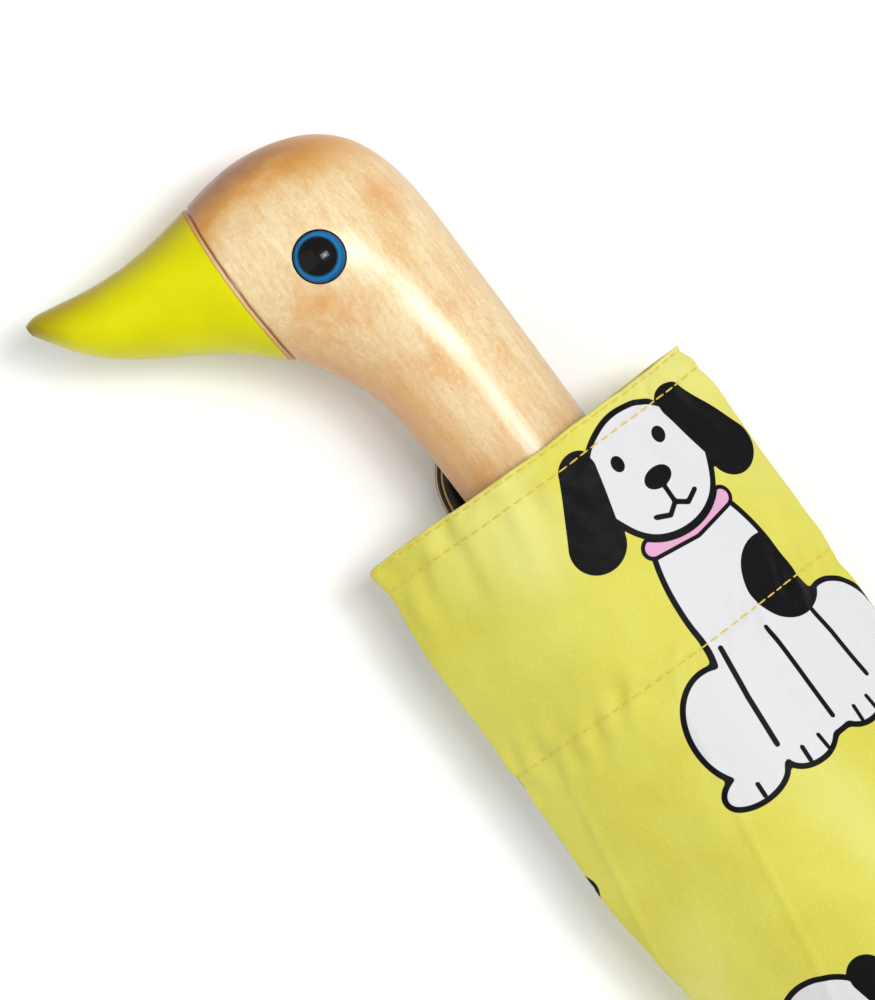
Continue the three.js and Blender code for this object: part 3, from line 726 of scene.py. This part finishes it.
def put_print(piece, x, s, spots, around=None):
    for name, values in zip(PRINT_FIELDS, print_fields(x, s, spots, around)):
        set_attribute(piece, name, np.clip(values, -FAR_OFF, FAR_OFF))


# ------------------------ cloth material

PRINT_EDGE = 0.06


def thread_waves(shade, direction):
    inputs = {"Vector": shade.place(), "Scale": 0.9, "Distortion": 0.6}
    return shade.node("TexWave", inputs, bands_direction=direction).outputs[1]


def printed_cloth(name, printed=True):
    shade = Shade(name, Sheen_Weight=0.012, Sheen_Roughness=0.4, Specular_IOR_Level=0.10)
    shade.set(Sheen_Tint=(1.0, 0.98, 0.75))
    patch = shade.noise(0.035, 3.0, 0.6)
    base = shade.mix(shade.spread(patch), srgb(212, 208, 96), srgb(199, 192, 70))
    # Painted sheen: broad paler patches where the satin would catch the light.
    painted_sheen = shade.noise(0.022, 2.0, 0.5, shade.place(0.6), 0.8)
    base = stain(shade, base, shade.step(painted_sheen, 0.44, 0.68), 0.75, srgb(218, 214, 132))
    fleck = shade.noise(2.4, 3.0, 0.7)
    base = stain(shade, base, shade.step(fleck, 0.5, 0.72), 0.30, srgb(226, 221, 140))
    if printed:
        ink = srgb(7, 6, 9)
        for field, colour in zip(PRINT_FIELDS, (ink, srgb(210, 210, 212), srgb(212, 158, 192), ink)):
            inside = shade.step(shade.field(field), PRINT_EDGE, -PRINT_EDGE)
            base = shade.mix(inside, base, colour)
    weave = shade.math("MAXIMUM", thread_waves(shade, "X"), thread_waves(shade, "Y"))
    threads = shade.bump(shade.math("ADD", weave, fleck), 0.028)
    return shade.finished(
        Base_Color=base,
        Roughness=shade.spread(shade.noise(0.5, 3.0), 0.42, 0.56),
        Normal=shade.bump(shade.noise(0.22, 3.0, 0.6), 0.22, threads),
    )


# ------------------------ sleeve

SLEEVE_LENGTH = 254.0
SLEEVE_ROUND = 166.0  # the cloth tube's girth
SLEEVE_CLOTH = 0.28
MOUTH_HALF = 35.9  # half the width at the mouth, which stands off the bundle
NARROWED = 4.9
MOUTH_CROWN, CROWN_RISE = 18.0, 3.5
UNDERSIDE = 25.5
COLUMNS = 380
HEM_EDGE = 0.8
HEM_FOOT = 5.3
THIRD_SEAM = 46.0
END_TAPER = 222.0
END_SEAM = 251.3  # clear of the end cap
END_STITCH = 252.5
END_FLAT = 0.013
TABLE_BLEND = 1.6
# x and inset of the rows inside the hem, up to its fold.
HEM_ROWS = [(5.6, 1.0), (4.4, 1.0), (3.0, 1.0), (1.6, 1.0), (0.6, 0.98)]
HEM_ROWS += [(0.12, 0.82), (-0.08, 0.55), (0.0, 0.25), (0.16, 0.08)]
# The bundle's folds press out through the cloth in long soft ridges: each one's y, slant, width and height.
RIDGES = [
    (-5.0, 0.16, 4.5, 0.26),
    (12.5, 0.04, 4.5, 0.26),
    (-27.0, 0.16, 4.5, 0.30),
    (-5.0, 0.16, 0.9, 0.26),
    (12.5, 0.04, 0.9, 0.26),
    (-30.0, 0.16, 0.9, 0.26),
    (-15.0, 0.16, 4.0, -0.20),
]
RIDGES_FROM, RIDGES_FULL = 46, 62
DOG_SPOTS = [
    (0.0, 0.0, 0.0),
    (-1.0, -82.0, 0.0),
    (103.7, -36.0, 0.0),
    (104.0, 44.0, -0.08),
    (188.0, 2.0, 0.05),
    (194.0, -82.0, 0.0),
]


def sleeve_sizes(x):
    """Half the width, and the height of the crown and of the underside, at x."""
    half = MOUTH_HALF - NARROWED * smoothstep(66, 140, x)
    half = half - 0.5 * bell(x, 0, 10)
    crown = MOUTH_CROWN + CROWN_RISE * smoothstep(6, 72, x)
    end = np.clip((x - END_TAPER) / (END_SEAM - END_TAPER), 0, 1)
    round_off = np.sqrt(np.maximum(1 - end**2.2, END_FLAT**2))
    half = half - 2.2 * end**2
    return half, crown * round_off, UNDERSIDE * round_off


def sleeve_outline(x):
    """Ring of (y, z) at equal steps of cloth, from under the shaft by the -Y crease over the crown."""
    half, crown, under = sleeve_sizes(x)
    turn = np.linspace(-math.pi / 2, math.pi / 2, 241)
    lens = np.cos(np.pi / 2 * np.sin(turn))
    bulge = 0.035 * smoothstep(4, 30, x) * smoothstep(110, 60, x)
    y = half * np.sin(turn) * (1 + bulge * (turn < 0))
    top = np.stack([y, crown * lens], axis=1)
    # The underside hangs like the crown, but stops at the table with a soft bend.
    drop = under * lens
    share = np.clip(0.5 + 0.5 * (AXIS_Z - drop) / TABLE_BLEND, 0, 1)
    depth = AXIS_Z + (drop - AXIS_Z) * share - TABLE_BLEND * share * (1 - share)
    bottom = np.stack([y, -np.maximum(depth, 0)], axis=1)
    left = bottom[: len(turn) // 2 + 1][::-1]
    right = bottom[len(turn) // 2 :][::-1]
    path = np.concatenate([left, top[1:-1], right])
    length = run_along(path)
    at = np.arange(COLUMNS) / COLUMNS * length[-1]
    ring = np.stack([np.interp(at, length, path[:, k]) for k in (0, 1)], axis=1)
    for _ in range(5):
        ring = (np.roll(ring, 1, axis=0) + 2 * ring + np.roll(ring, -1, axis=0)) / 4
    return ring


def sleeve_rows():
    """x and inset of each row: up inside the hem, round its fold, and down the outside."""
    fine = np.arange(0.4, 8.0, 0.34)
    body = np.concatenate([np.arange(8.0, 96.0, 0.46), np.arange(96.0, SLEEVE_LENGTH - 0.5, 0.6)])
    body = np.unique(np.round(np.concatenate([body, THIRD_SEAM + np.arange(-1.8, 1.81, 0.3)]), 3))
    end = SLEEVE_LENGTH - np.array([0.4, 0.2, 0.08, 0.02])
    outside = np.concatenate([fine, body, end])
    return np.array(HEM_ROWS + [(x, 0.0) for x in outside])


def sleeve_points():
    rows = sleeve_rows()
    points = np.empty((len(rows), COLUMNS, 3))
    for k, (x, _) in enumerate(rows):
        points[k, :, 0] = x
        points[k, :, 1:] = sleeve_outline(max(x, 0.0))
    normals = surface_normals(points[len(HEM_ROWS) :])
    normals = np.concatenate([np.repeat(normals[:1], len(HEM_ROWS), axis=0), normals])
    x = points[:, :, 0]
    hem = smoothstep(26, 2, x)
    seam = bell(x, THIRD_SEAM, 5)
    broad = waves(points * np.array([0.5, 1.0, 1.0]), 34, 11) * 0.42
    cross = waves(points * np.array([0.9, 1.0, 1.0]), 15, 12) * 0.13
    pucker = waves(points * np.array([0.45, 1.0, 1.0]), 6.0, 13) * 0.46 * hem * smoothstep(-0.5, 0.9, x)
    slant = points @ np.array([[0.5, 0, 0], [0.75, 1, 0], [0, 0, 1]]).T
    gather = waves(slant, 4.0, 14) * (0.50 * seam + 0.55 * bell(x, (HEM_EDGE + HEM_FOOT) / 2, 2.6))
    ridges = sum(
        height * bell(points[:, :, 1] + slant * (x - 60), y, width) for y, slant, width, height in RIDGES
    )
    ridges = ridges * smoothstep(RIDGES_FROM, RIDGES_FULL, x) * (points[:, :, 2] > 0)
    lift = broad + cross + pucker + gather + ridges
    for line, depth in ((HEM_EDGE, 0.10), (HEM_FOOT, 0.16), (THIRD_SEAM, 0.16)):
        lift = lift - depth * bell(x, line, 0.7)
    lift = lift + 0.12 * bell(x, 3.0, 1.8)
    lift = lift * smoothstep(END_SEAM, END_SEAM - 14, x)
    points = points + normals * (lift - rows[:, 1][:, None])[:, :, None]
    # The mouth's edge isn't quite straight, and what lies on the table is flat.
    around = points[:1] * np.array([0.0, 1.0, 1.0])
    uneven = waves(around, 30, 15) * 0.22 + waves(around, 9, 16) * 0.10 - 0.012 * np.abs(around[:, :, 1])
    points[:, :, 0] += uneven * smoothstep(14, 0, x)
    points[:, :, 2] = np.maximum(points[:, :, 2], TABLE_Z + rows[:, 1][:, None])
    return points, rows


STITCH_SIDES = 6
STITCH_RADII = 0.16 * np.array([0.55, 1.0, 1.0, 1.0, 0.55])  # at each knot of a stitch
STITCH_DIP = 0.26


def stitches(name, lines, normals, pitch, length, material, closed=True, lift=0.10):
    """Short threads along each line of points, standing just out of the cloth, as one mesh."""
    knots = len(STITCH_RADII)
    turn = turns(STITCH_SIDES)
    height = lift - STITCH_DIP * np.linspace(-1, 1, knots) ** 4
    points = []
    for loop, out in zip(lines, normals):
        if closed:
            loop, out = np.concatenate([loop, loop[:1]]), np.concatenate([out, out[:1]])
        run = run_along(loop)
        count = int(run[-1] / pitch)
        for k in range(count):
            at = (k + np.linspace(0, length / pitch, knots)) * run[-1] / count
            line = np.stack([np.interp(at, run, loop[:, i]) for i in range(3)], axis=1)
            up = np.stack([np.interp(at, run, out[:, i]) for i in range(3)], axis=1)
            line = line + up * height[:, None]
            side = np.cross(unit(np.gradient(line, axis=0)), up)
            points.append(rings_round(line, side, up, turn, STITCH_RADII[:, None, None]))
    one_stitch = tube_faces(knots, STITCH_SIDES)
    starts = range(0, len(points) * knots * STITCH_SIDES, knots * STITCH_SIDES)
    faces = [[start + k for k in face] for start in starts for face in one_stitch]
    points = np.array(points)
    points[..., 2] = np.maximum(points[..., 2], TABLE_Z)
    return new_mesh(name, to_frame(points), faces, material)


def thread_material(name, colour, dark):
    shade = Shade(name, Sheen_Weight=0.3)
    twist = shade.noise(3.2, 2.0, 0.6)
    return shade.finished(
        Base_Color=shade.mix(shade.spread(twist), colour, dark),
        Roughness=shade.spread(shade.noise(1.1, 2.0), 0.45, 0.65),
        Normal=shade.bump(twist, 0.05),
    )


cloth = printed_cloth("printed_cloth")
thread = thread_material("yellow_thread", srgb(222, 198, 56), srgb(202, 172, 40))


def nearest_row(rows, inner_rows, x):
    """The index of the row outside the hem that lies closest to x."""
    return len(inner_rows) + int(np.argmin(np.abs(rows[len(inner_rows) :, 0] - x)))


def make_sleeve():
    points, rows = sleeve_points()
    count = len(rows)
    sleeve = new_mesh("sleeve_cloth", to_frame(points), grid_faces(count, COLUMNS), cloth)
    sleeve.data.flip_normals()
    x = np.where(rows[:, 1] > 0.3, -rows[:, 0], rows[:, 0])  # the turned-in hem runs on below 0
    s = (np.arange(COLUMNS) / COLUMNS - 0.5) * SLEEVE_ROUND
    fabric_x, fabric_s = np.meshgrid(x, s, indexing="ij")
    put_print(sleeve, fabric_x, fabric_s, DOG_SPOTS, SLEEVE_ROUND)
    thicken(sleeve, SLEEVE_CLOTH)
    normals = surface_normals(points)
    lines, outs = [], []
    for line in (HEM_EDGE, HEM_FOOT, THIRD_SEAM, END_STITCH):
        k = nearest_row(rows, HEM_ROWS, line)
        lines.append(points[k])
        outs.append(normals[k])
    made = stitches("sleeve_stitches", lines, outs, 2.5, 2.3, thread)
    for piece in (sleeve, made):
        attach(piece, "sleeve")
    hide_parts("sleeve")


make_sleeve()


# ------------------------ folded canopy

CANOPY_ENVELOPE = [
    (67.5, 19.0),
    (90, 19.6),
    (150, 19.4),
    (200, 18.5),
    (222, 17.2),
    (234, 14.0),
    (241, 9.4),
    (243, 5.0),
    (243.2, 2.7),
]
CANOPY_HEM_ROWS = [(84, 2.4), (76, 2.3), (71, 2.2), (68.3, 1.9), (67.2, 1.2), (67.0, 0.6), (67.3, 0.15)]
CANOPY_HEM_STITCH = 71.5
FOLDS = 6
FOLD_DEPTH = 1.9
WRAP_RADIUS = 19.4  # of the cloth's round, for the print
HIDDEN_PER_FOLD = 9.0
PRINT_SHIFT = 88.0
CANOPY_COLUMNS = 420
STRAP_FROM, STRAP_TO, STRAP_RADIUS = 118.0, 136.0, 20.0
CANOPY_DOGS = [(64.0, -20.0, 0.2), (150.0, 22.0, -0.3), (128.0, -62.0, 0.5)]


def canopy_points():
    """The cloth wrapped round the bundle: each fold lies over the next and runs a little round the shaft."""
    run = np.concatenate([np.arange(67.8, 236, 0.7), np.linspace(236, 243.2, 22)])
    rows = np.concatenate([CANOPY_HEM_ROWS, np.stack([run, np.zeros(len(run))], axis=1)])
    x, angle = np.meshgrid(rows[:, 0], turns(CANOPY_COLUMNS), indexing="ij")
    knots, radii = np.array(CANOPY_ENVELOPE).T
    envelope = np.interp(x, knots, radii)
    wander = np.stack([x * 0.02, np.cos(angle) * 2, np.sin(angle) * 2], axis=2)
    lean = 0.0035 * (x - 150) + 0.07 * waves(wander, 3.0, 21)
    lap = ((angle + lean) / TAU * FOLDS) % 1.0
    fold = smoothstep(0.0, 0.035, lap) * (1 - 0.9 * lap) - 0.25 * smoothstep(0.10, 0.13, lap)
    held = bell(x, (STRAP_FROM + STRAP_TO) / 2, 16)
    share = envelope / 19.6
    drop = FOLD_DEPTH * share * (1 - 0.55 * held) * (1 - fold)
    radius = envelope - drop - 0.35 * held
    soft = waves(np.stack([x * 0.5, 19 * np.cos(angle), 19 * np.sin(angle)], axis=2), 11, 22)
    radius = radius - 0.28 * (1 + soft) * share * (1 - 0.5 * held) - rows[:, 1][:, None]
    hem = smoothstep(90, 67, x)
    x = x + hem * (1.6 * (lap - 0.3) + 0.35 * waves(wander, 1.2, 23))
    points = np.stack([x, radius * np.cos(angle), radius * np.sin(angle)], axis=2)
    # Cloth between two edges is wider than it looks, so the print runs on under each fold.
    fabric_s = WRAP_RADIUS * angle + HIDDEN_PER_FOLD * np.floor((angle + lean) / TAU * FOLDS)
    return points, rows, fabric_s - PRINT_SHIFT


def make_canopy():
    points, rows, fabric_s = canopy_points()
    faces = grid_faces(len(rows), CANOPY_COLUMNS)
    canopy = new_mesh("canopy_cloth", to_frame(points), faces, cloth)
    canopy.data.flip_normals()
    fabric_x = np.broadcast_to(rows[:, 0][:, None], fabric_s.shape).copy()
    put_print(canopy, fabric_x, fabric_s, CANOPY_DOGS)
    thicken(canopy, 0.25)
    normals = surface_normals(points)
    k = nearest_row(rows, CANOPY_HEM_ROWS, CANOPY_HEM_STITCH)
    hem = stitches("canopy_stitches", [points[k]], [normals[k]], 2.6, 1.9, thread)
    for piece in (canopy, hem):
        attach(piece, "bundle")
    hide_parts("canopy")


STRAP_OVERLAP = math.radians(24)
STRAP_END_ROUND = 5.0


def strap_radius(angle):
    """The strap's free end lies over its other end, where the snap is."""
    return STRAP_RADIUS + 2.8 * smoothstep(TAU - STRAP_OVERLAP * 2, TAU - STRAP_OVERLAP / 2, angle)


def make_strap():
    start, end = -STRAP_OVERLAP / 2, TAU + STRAP_OVERLAP / 2
    angle = np.linspace(start, end, 260)
    across = np.linspace(-1, 1, 25)
    radius = strap_radius(angle)[:, None] + 0.25 + 0.10 * (1 - np.abs(across) ** 6)[None, :]
    middle, half = (STRAP_FROM + STRAP_TO) / 2, (STRAP_TO - STRAP_FROM) / 2 - 0.3
    # The free end is rounded.
    left = (end - angle) * 21.0
    rounded = np.sqrt(np.maximum(1 - (1 - left / STRAP_END_ROUND) ** 2, 0.02))
    narrow = np.where(left < STRAP_END_ROUND, rounded, 1.0)
    x = middle + half * narrow[:, None] * across[None, :]
    sweep = np.stack([np.cos(angle), np.sin(angle)], axis=1)
    level = np.broadcast_to(sweep[:, None, :] * 19, (*x.shape, 2))
    ripple = waves(np.concatenate([x[:, :, None] * 0.8, level], axis=2), 7, 31)
    radius = radius + 0.05 * ripple - 0.10 * bell(np.abs(across), 0.86, 0.06)[None, :]
    points = np.concatenate([x[:, :, None], radius[:, :, None] * sweep[:, None, :]], axis=2)
    faces = grid_faces(len(angle), len(across), closed=False)
    strap = new_mesh("strap_cloth", to_frame(points), faces, plain_cloth)
    thicken(strap, 0.42, 0.0)
    out = np.concatenate([0 * sweep[:, :1], sweep], axis=1)
    lines = [points[4:-14, k] for k in (2, len(across) - 3)]
    outs = [out[4:-14]] * 2
    seams = stitches("strap_stitches", lines, outs, 2.4, 1.8, thread, closed=False, lift=0.26)
    for piece in (strap, seams):
        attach(piece, "bundle")
    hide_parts("tie_strap")


plain_cloth = printed_cloth("plain_cloth", printed=False)
make_canopy()
make_strap()


# ------------------------ hanging loop

CORD_RADIUS = 2.7
CORD_SIDES = 48
CLIP_FACE = 39.7
BEND_X, BEND_Y, BEND_RADIUS = 0.4, -3.5, 11.7
GOLD_LINES = (math.radians(118), math.radians(150))


def bend_point(degrees, z):
    """A point of the loop's bend, which is an arc round the neck."""
    angle = math.radians(degrees)
    return (BEND_X - BEND_RADIUS * math.sin(angle), BEND_Y - BEND_RADIUS * math.cos(angle), z)


CORD_ROUTE = [
    (CLIP_FACE, -3.1, -16.9),
    (34, -3.6, -16.9),
    (28, -5.6, -16.8),
    (21, -9.2, -16.0),
    (14, -12.6, -14.6),
    (7, -14.7, -13.4),
    bend_point(0, -12.9),
    bend_point(30, -13.6),
    bend_point(60, -15.2),
    bend_point(90, -16.7),
    bend_point(120, -17.4),
    bend_point(150, -17.7),
    bend_point(180, -17.8),
    (7, 8.0, -17.9),
    (14, 7.1, -17.9),
    (21, 5.7, -17.7),
    (28, 4.2, -17.3),
    (34, 3.3, -17.0),
    (CLIP_FACE, 3.1, -16.9),
]


def loop_material():
    shade = Shade("loop_cord", Coat_Weight=0.35, Coat_Roughness=0.05, IOR=1.4, Specular_IOR_Level=0.1)
    cloud = shade.noise(0.35, 4.0, 0.6, shade.place(0.5))
    colour = shade.mix(shade.step(cloud, 0.46, 0.66), srgb(10, 7, 5), srgb(58, 34, 14))
    colour = shade.mix(shade.step(shade.field("from_gold_line"), 0.26, 0.12), colour, srgb(206, 168, 92))
    rough = shade.spread(shade.noise(0.9, 3.0), 0.12, 0.24)
    return shade.finished(Base_Color=colour, Roughness=rough, Normal=shade.bump(shade.noise(0.5, 2.0), 0.12))


def make_loop():
    """A round cord along its route, with two thin bright gold lines and a stitched channel on its outer
    side.
    """
    at = np.linspace(0, len(CORD_ROUTE) - 1, 160)
    line = curve_through(CORD_ROUTE, at)
    ahead = unit(np.gradient(line, axis=0))
    up = unit(np.array([0.0, 0.0, 1.0]) - ahead * ahead[:, 2:])
    turn = turns(CORD_SIDES)
    radius = CORD_RADIUS * (1 - 0.035 * bell(np.cos(turn - math.pi), 1.0, 0.05))
    points = rings_round(line, np.cross(ahead, up), up, turn, radius[None, :, None])
    loop = new_mesh("loop_cord", to_frame(points), tube_faces(len(line), CORD_SIDES), loop_material())
    away = [CORD_RADIUS * 2 * np.abs(np.sin((turn - gold_line) / 2)) for gold_line in GOLD_LINES]
    set_attribute(loop, "from_gold_line", np.tile(np.minimum(*away), len(line)))
    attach(loop, "handle")
    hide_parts("hanging_loop")


make_loop()


# ------------------------ CAD nodes that show as they are


def metal(name, colour, rough, scratch, metallic=1.0):
    shade = Shade(name, Metallic=metallic)
    brushed = shade.noise(1.6, 4.0, 0.65, shade.place(0.05))
    smudge = shade.noise(0.12, 3.0, 0.6)
    darker = tuple(c * 0.82 for c in colour)
    scratched = shade.spread(brushed, rough, rough + 0.12)
    return shade.finished(
        Base_Color=shade.mix(shade.spread(smudge), colour, darker),
        Roughness=shade.math("ADD", scratched, shade.spread(smudge, 0.0, 0.06)),
        Normal=shade.bump(brushed, scratch),
    )


def moulded(name, colour, rough):
    shade = Shade(name, Coat_Weight=0.1, Coat_Roughness=0.3)
    grain = shade.noise(3.0, 3.0, 0.6)
    cloud = shade.noise(0.15, 2.0)
    lighter = tuple(min(1.0, c * 1.6 + 0.004) for c in colour)
    return shade.finished(
        Base_Color=shade.mix(shade.spread(cloud), colour, lighter),
        Roughness=shade.spread(grain, rough - 0.08, rough + 0.10),
        Normal=shade.bump(grain, 0.03),
    )


def rod_material():
    shade = Shade("fibreglass", Coat_Weight=0.3, Coat_Roughness=0.15)
    fibres = shade.noise(2.2, 3.0, 0.7, shade.place(0.03))
    return shade.finished(
        Base_Color=shade.mix(shade.spread(fibres), srgb(30, 31, 34), srgb(52, 53, 56)),
        Roughness=shade.spread(fibres, 0.28, 0.44),
        Normal=shade.bump(fibres, 0.04),
    )


FINISHES = {
    "plated_steel": metal("plated_steel", (0.62, 0.63, 0.65), 0.14, 0.01),
    "black_steel": metal("black_steel", (0.022, 0.022, 0.025), 0.30, 0.015, metallic=0.5),
    "black_plastic": moulded("black_plastic", (0.012, 0.012, 0.013), 0.42),
    "fibreglass": rod_material(),
}


WELD_WITHIN = 0.00001
EDGE_ROUNDING = 0.00012


def dress_nodes():
    """Gives each CAD node that shows its finish, rounds its shading and takes the knife edges off it."""
    for part in frame["record"]["subparts"]:
        node = nodes[part["node"]]
        finish = FINISHES.get(part["material_slot"])
        if node.hide_render or finish is None:
            continue
        node.data.materials.clear()
        node.data.materials.append(finish)
        node.data.shade_smooth()
        weld = node.modifiers.new("weld", "WELD")
        weld.merge_threshold = WELD_WITHIN
        rounding = node.modifiers.new("rounding", "BEVEL")
        rounding.width = EDGE_ROUNDING
        rounding.segments = 2
        rounding.limit_method = "ANGLE"
        rounding.angle_limit = math.radians(40)
        rounding.harden_normals = True


dress_nodes()


# ------------------------ floor and lights


FLOOR_REACH = 3.0
HEAD_PLACE = Vector((-0.13, -0.01, 0.02))


def make_floor():
    r = FLOOR_REACH
    floor = new_mesh(
        "floor",
        [(-r, -r, 0), (r, -r, 0), (r, r, 0), (-r, r, 0)],
        [(0, 1, 2, 3)],
        Shade("floor", Base_Color=(0.97, 0.97, 0.97), Roughness=0.9).material,
        smooth=False,
    )


def softbox(name, position, size, watts, shape="RECTANGLE"):
    """A flat lamp aimed at the head, whose first side runs as nearly along x as its aim lets it."""
    data = bpy.data.lights.new(name, "AREA")
    data.shape = shape
    data.size = size[0]
    if shape == "RECTANGLE":
        data.size_y = size[1]
    data.energy = watts
    lamp = link(bpy.data.objects.new(name, data))
    back = (Vector(position) - HEAD_PLACE).normalized()
    side = Vector((1.0, 0.0, 0.0))
    side = (side - side.dot(back) * back).normalized()
    lamp.matrix_world = placed(position, side, back.cross(side), back)


def make_world(strength):
    world = bpy.data.worlds.new("studio")
    world.use_nodes = True
    background = world.node_tree.nodes["Background"]
    background.inputs[0].default_value = (1.0, 1.0, 1.0, 1.0)
    background.inputs[1].default_value = strength
    bpy.context.scene.world = world


make_floor()
make_world(0.58)
softbox("key", (-0.06, 0.42, 1.2), (0.40, 0.64), 8.8)
softbox("spot", (-0.045, 0.42, 1.15), (0.18, 0.18), 1.6, shape="DISK")
softbox("fill", (-0.45, -0.85, 1.0), (1.6, 1.6), 3.0)
bpy.context.scene.view_settings.view_transform = "Standard"
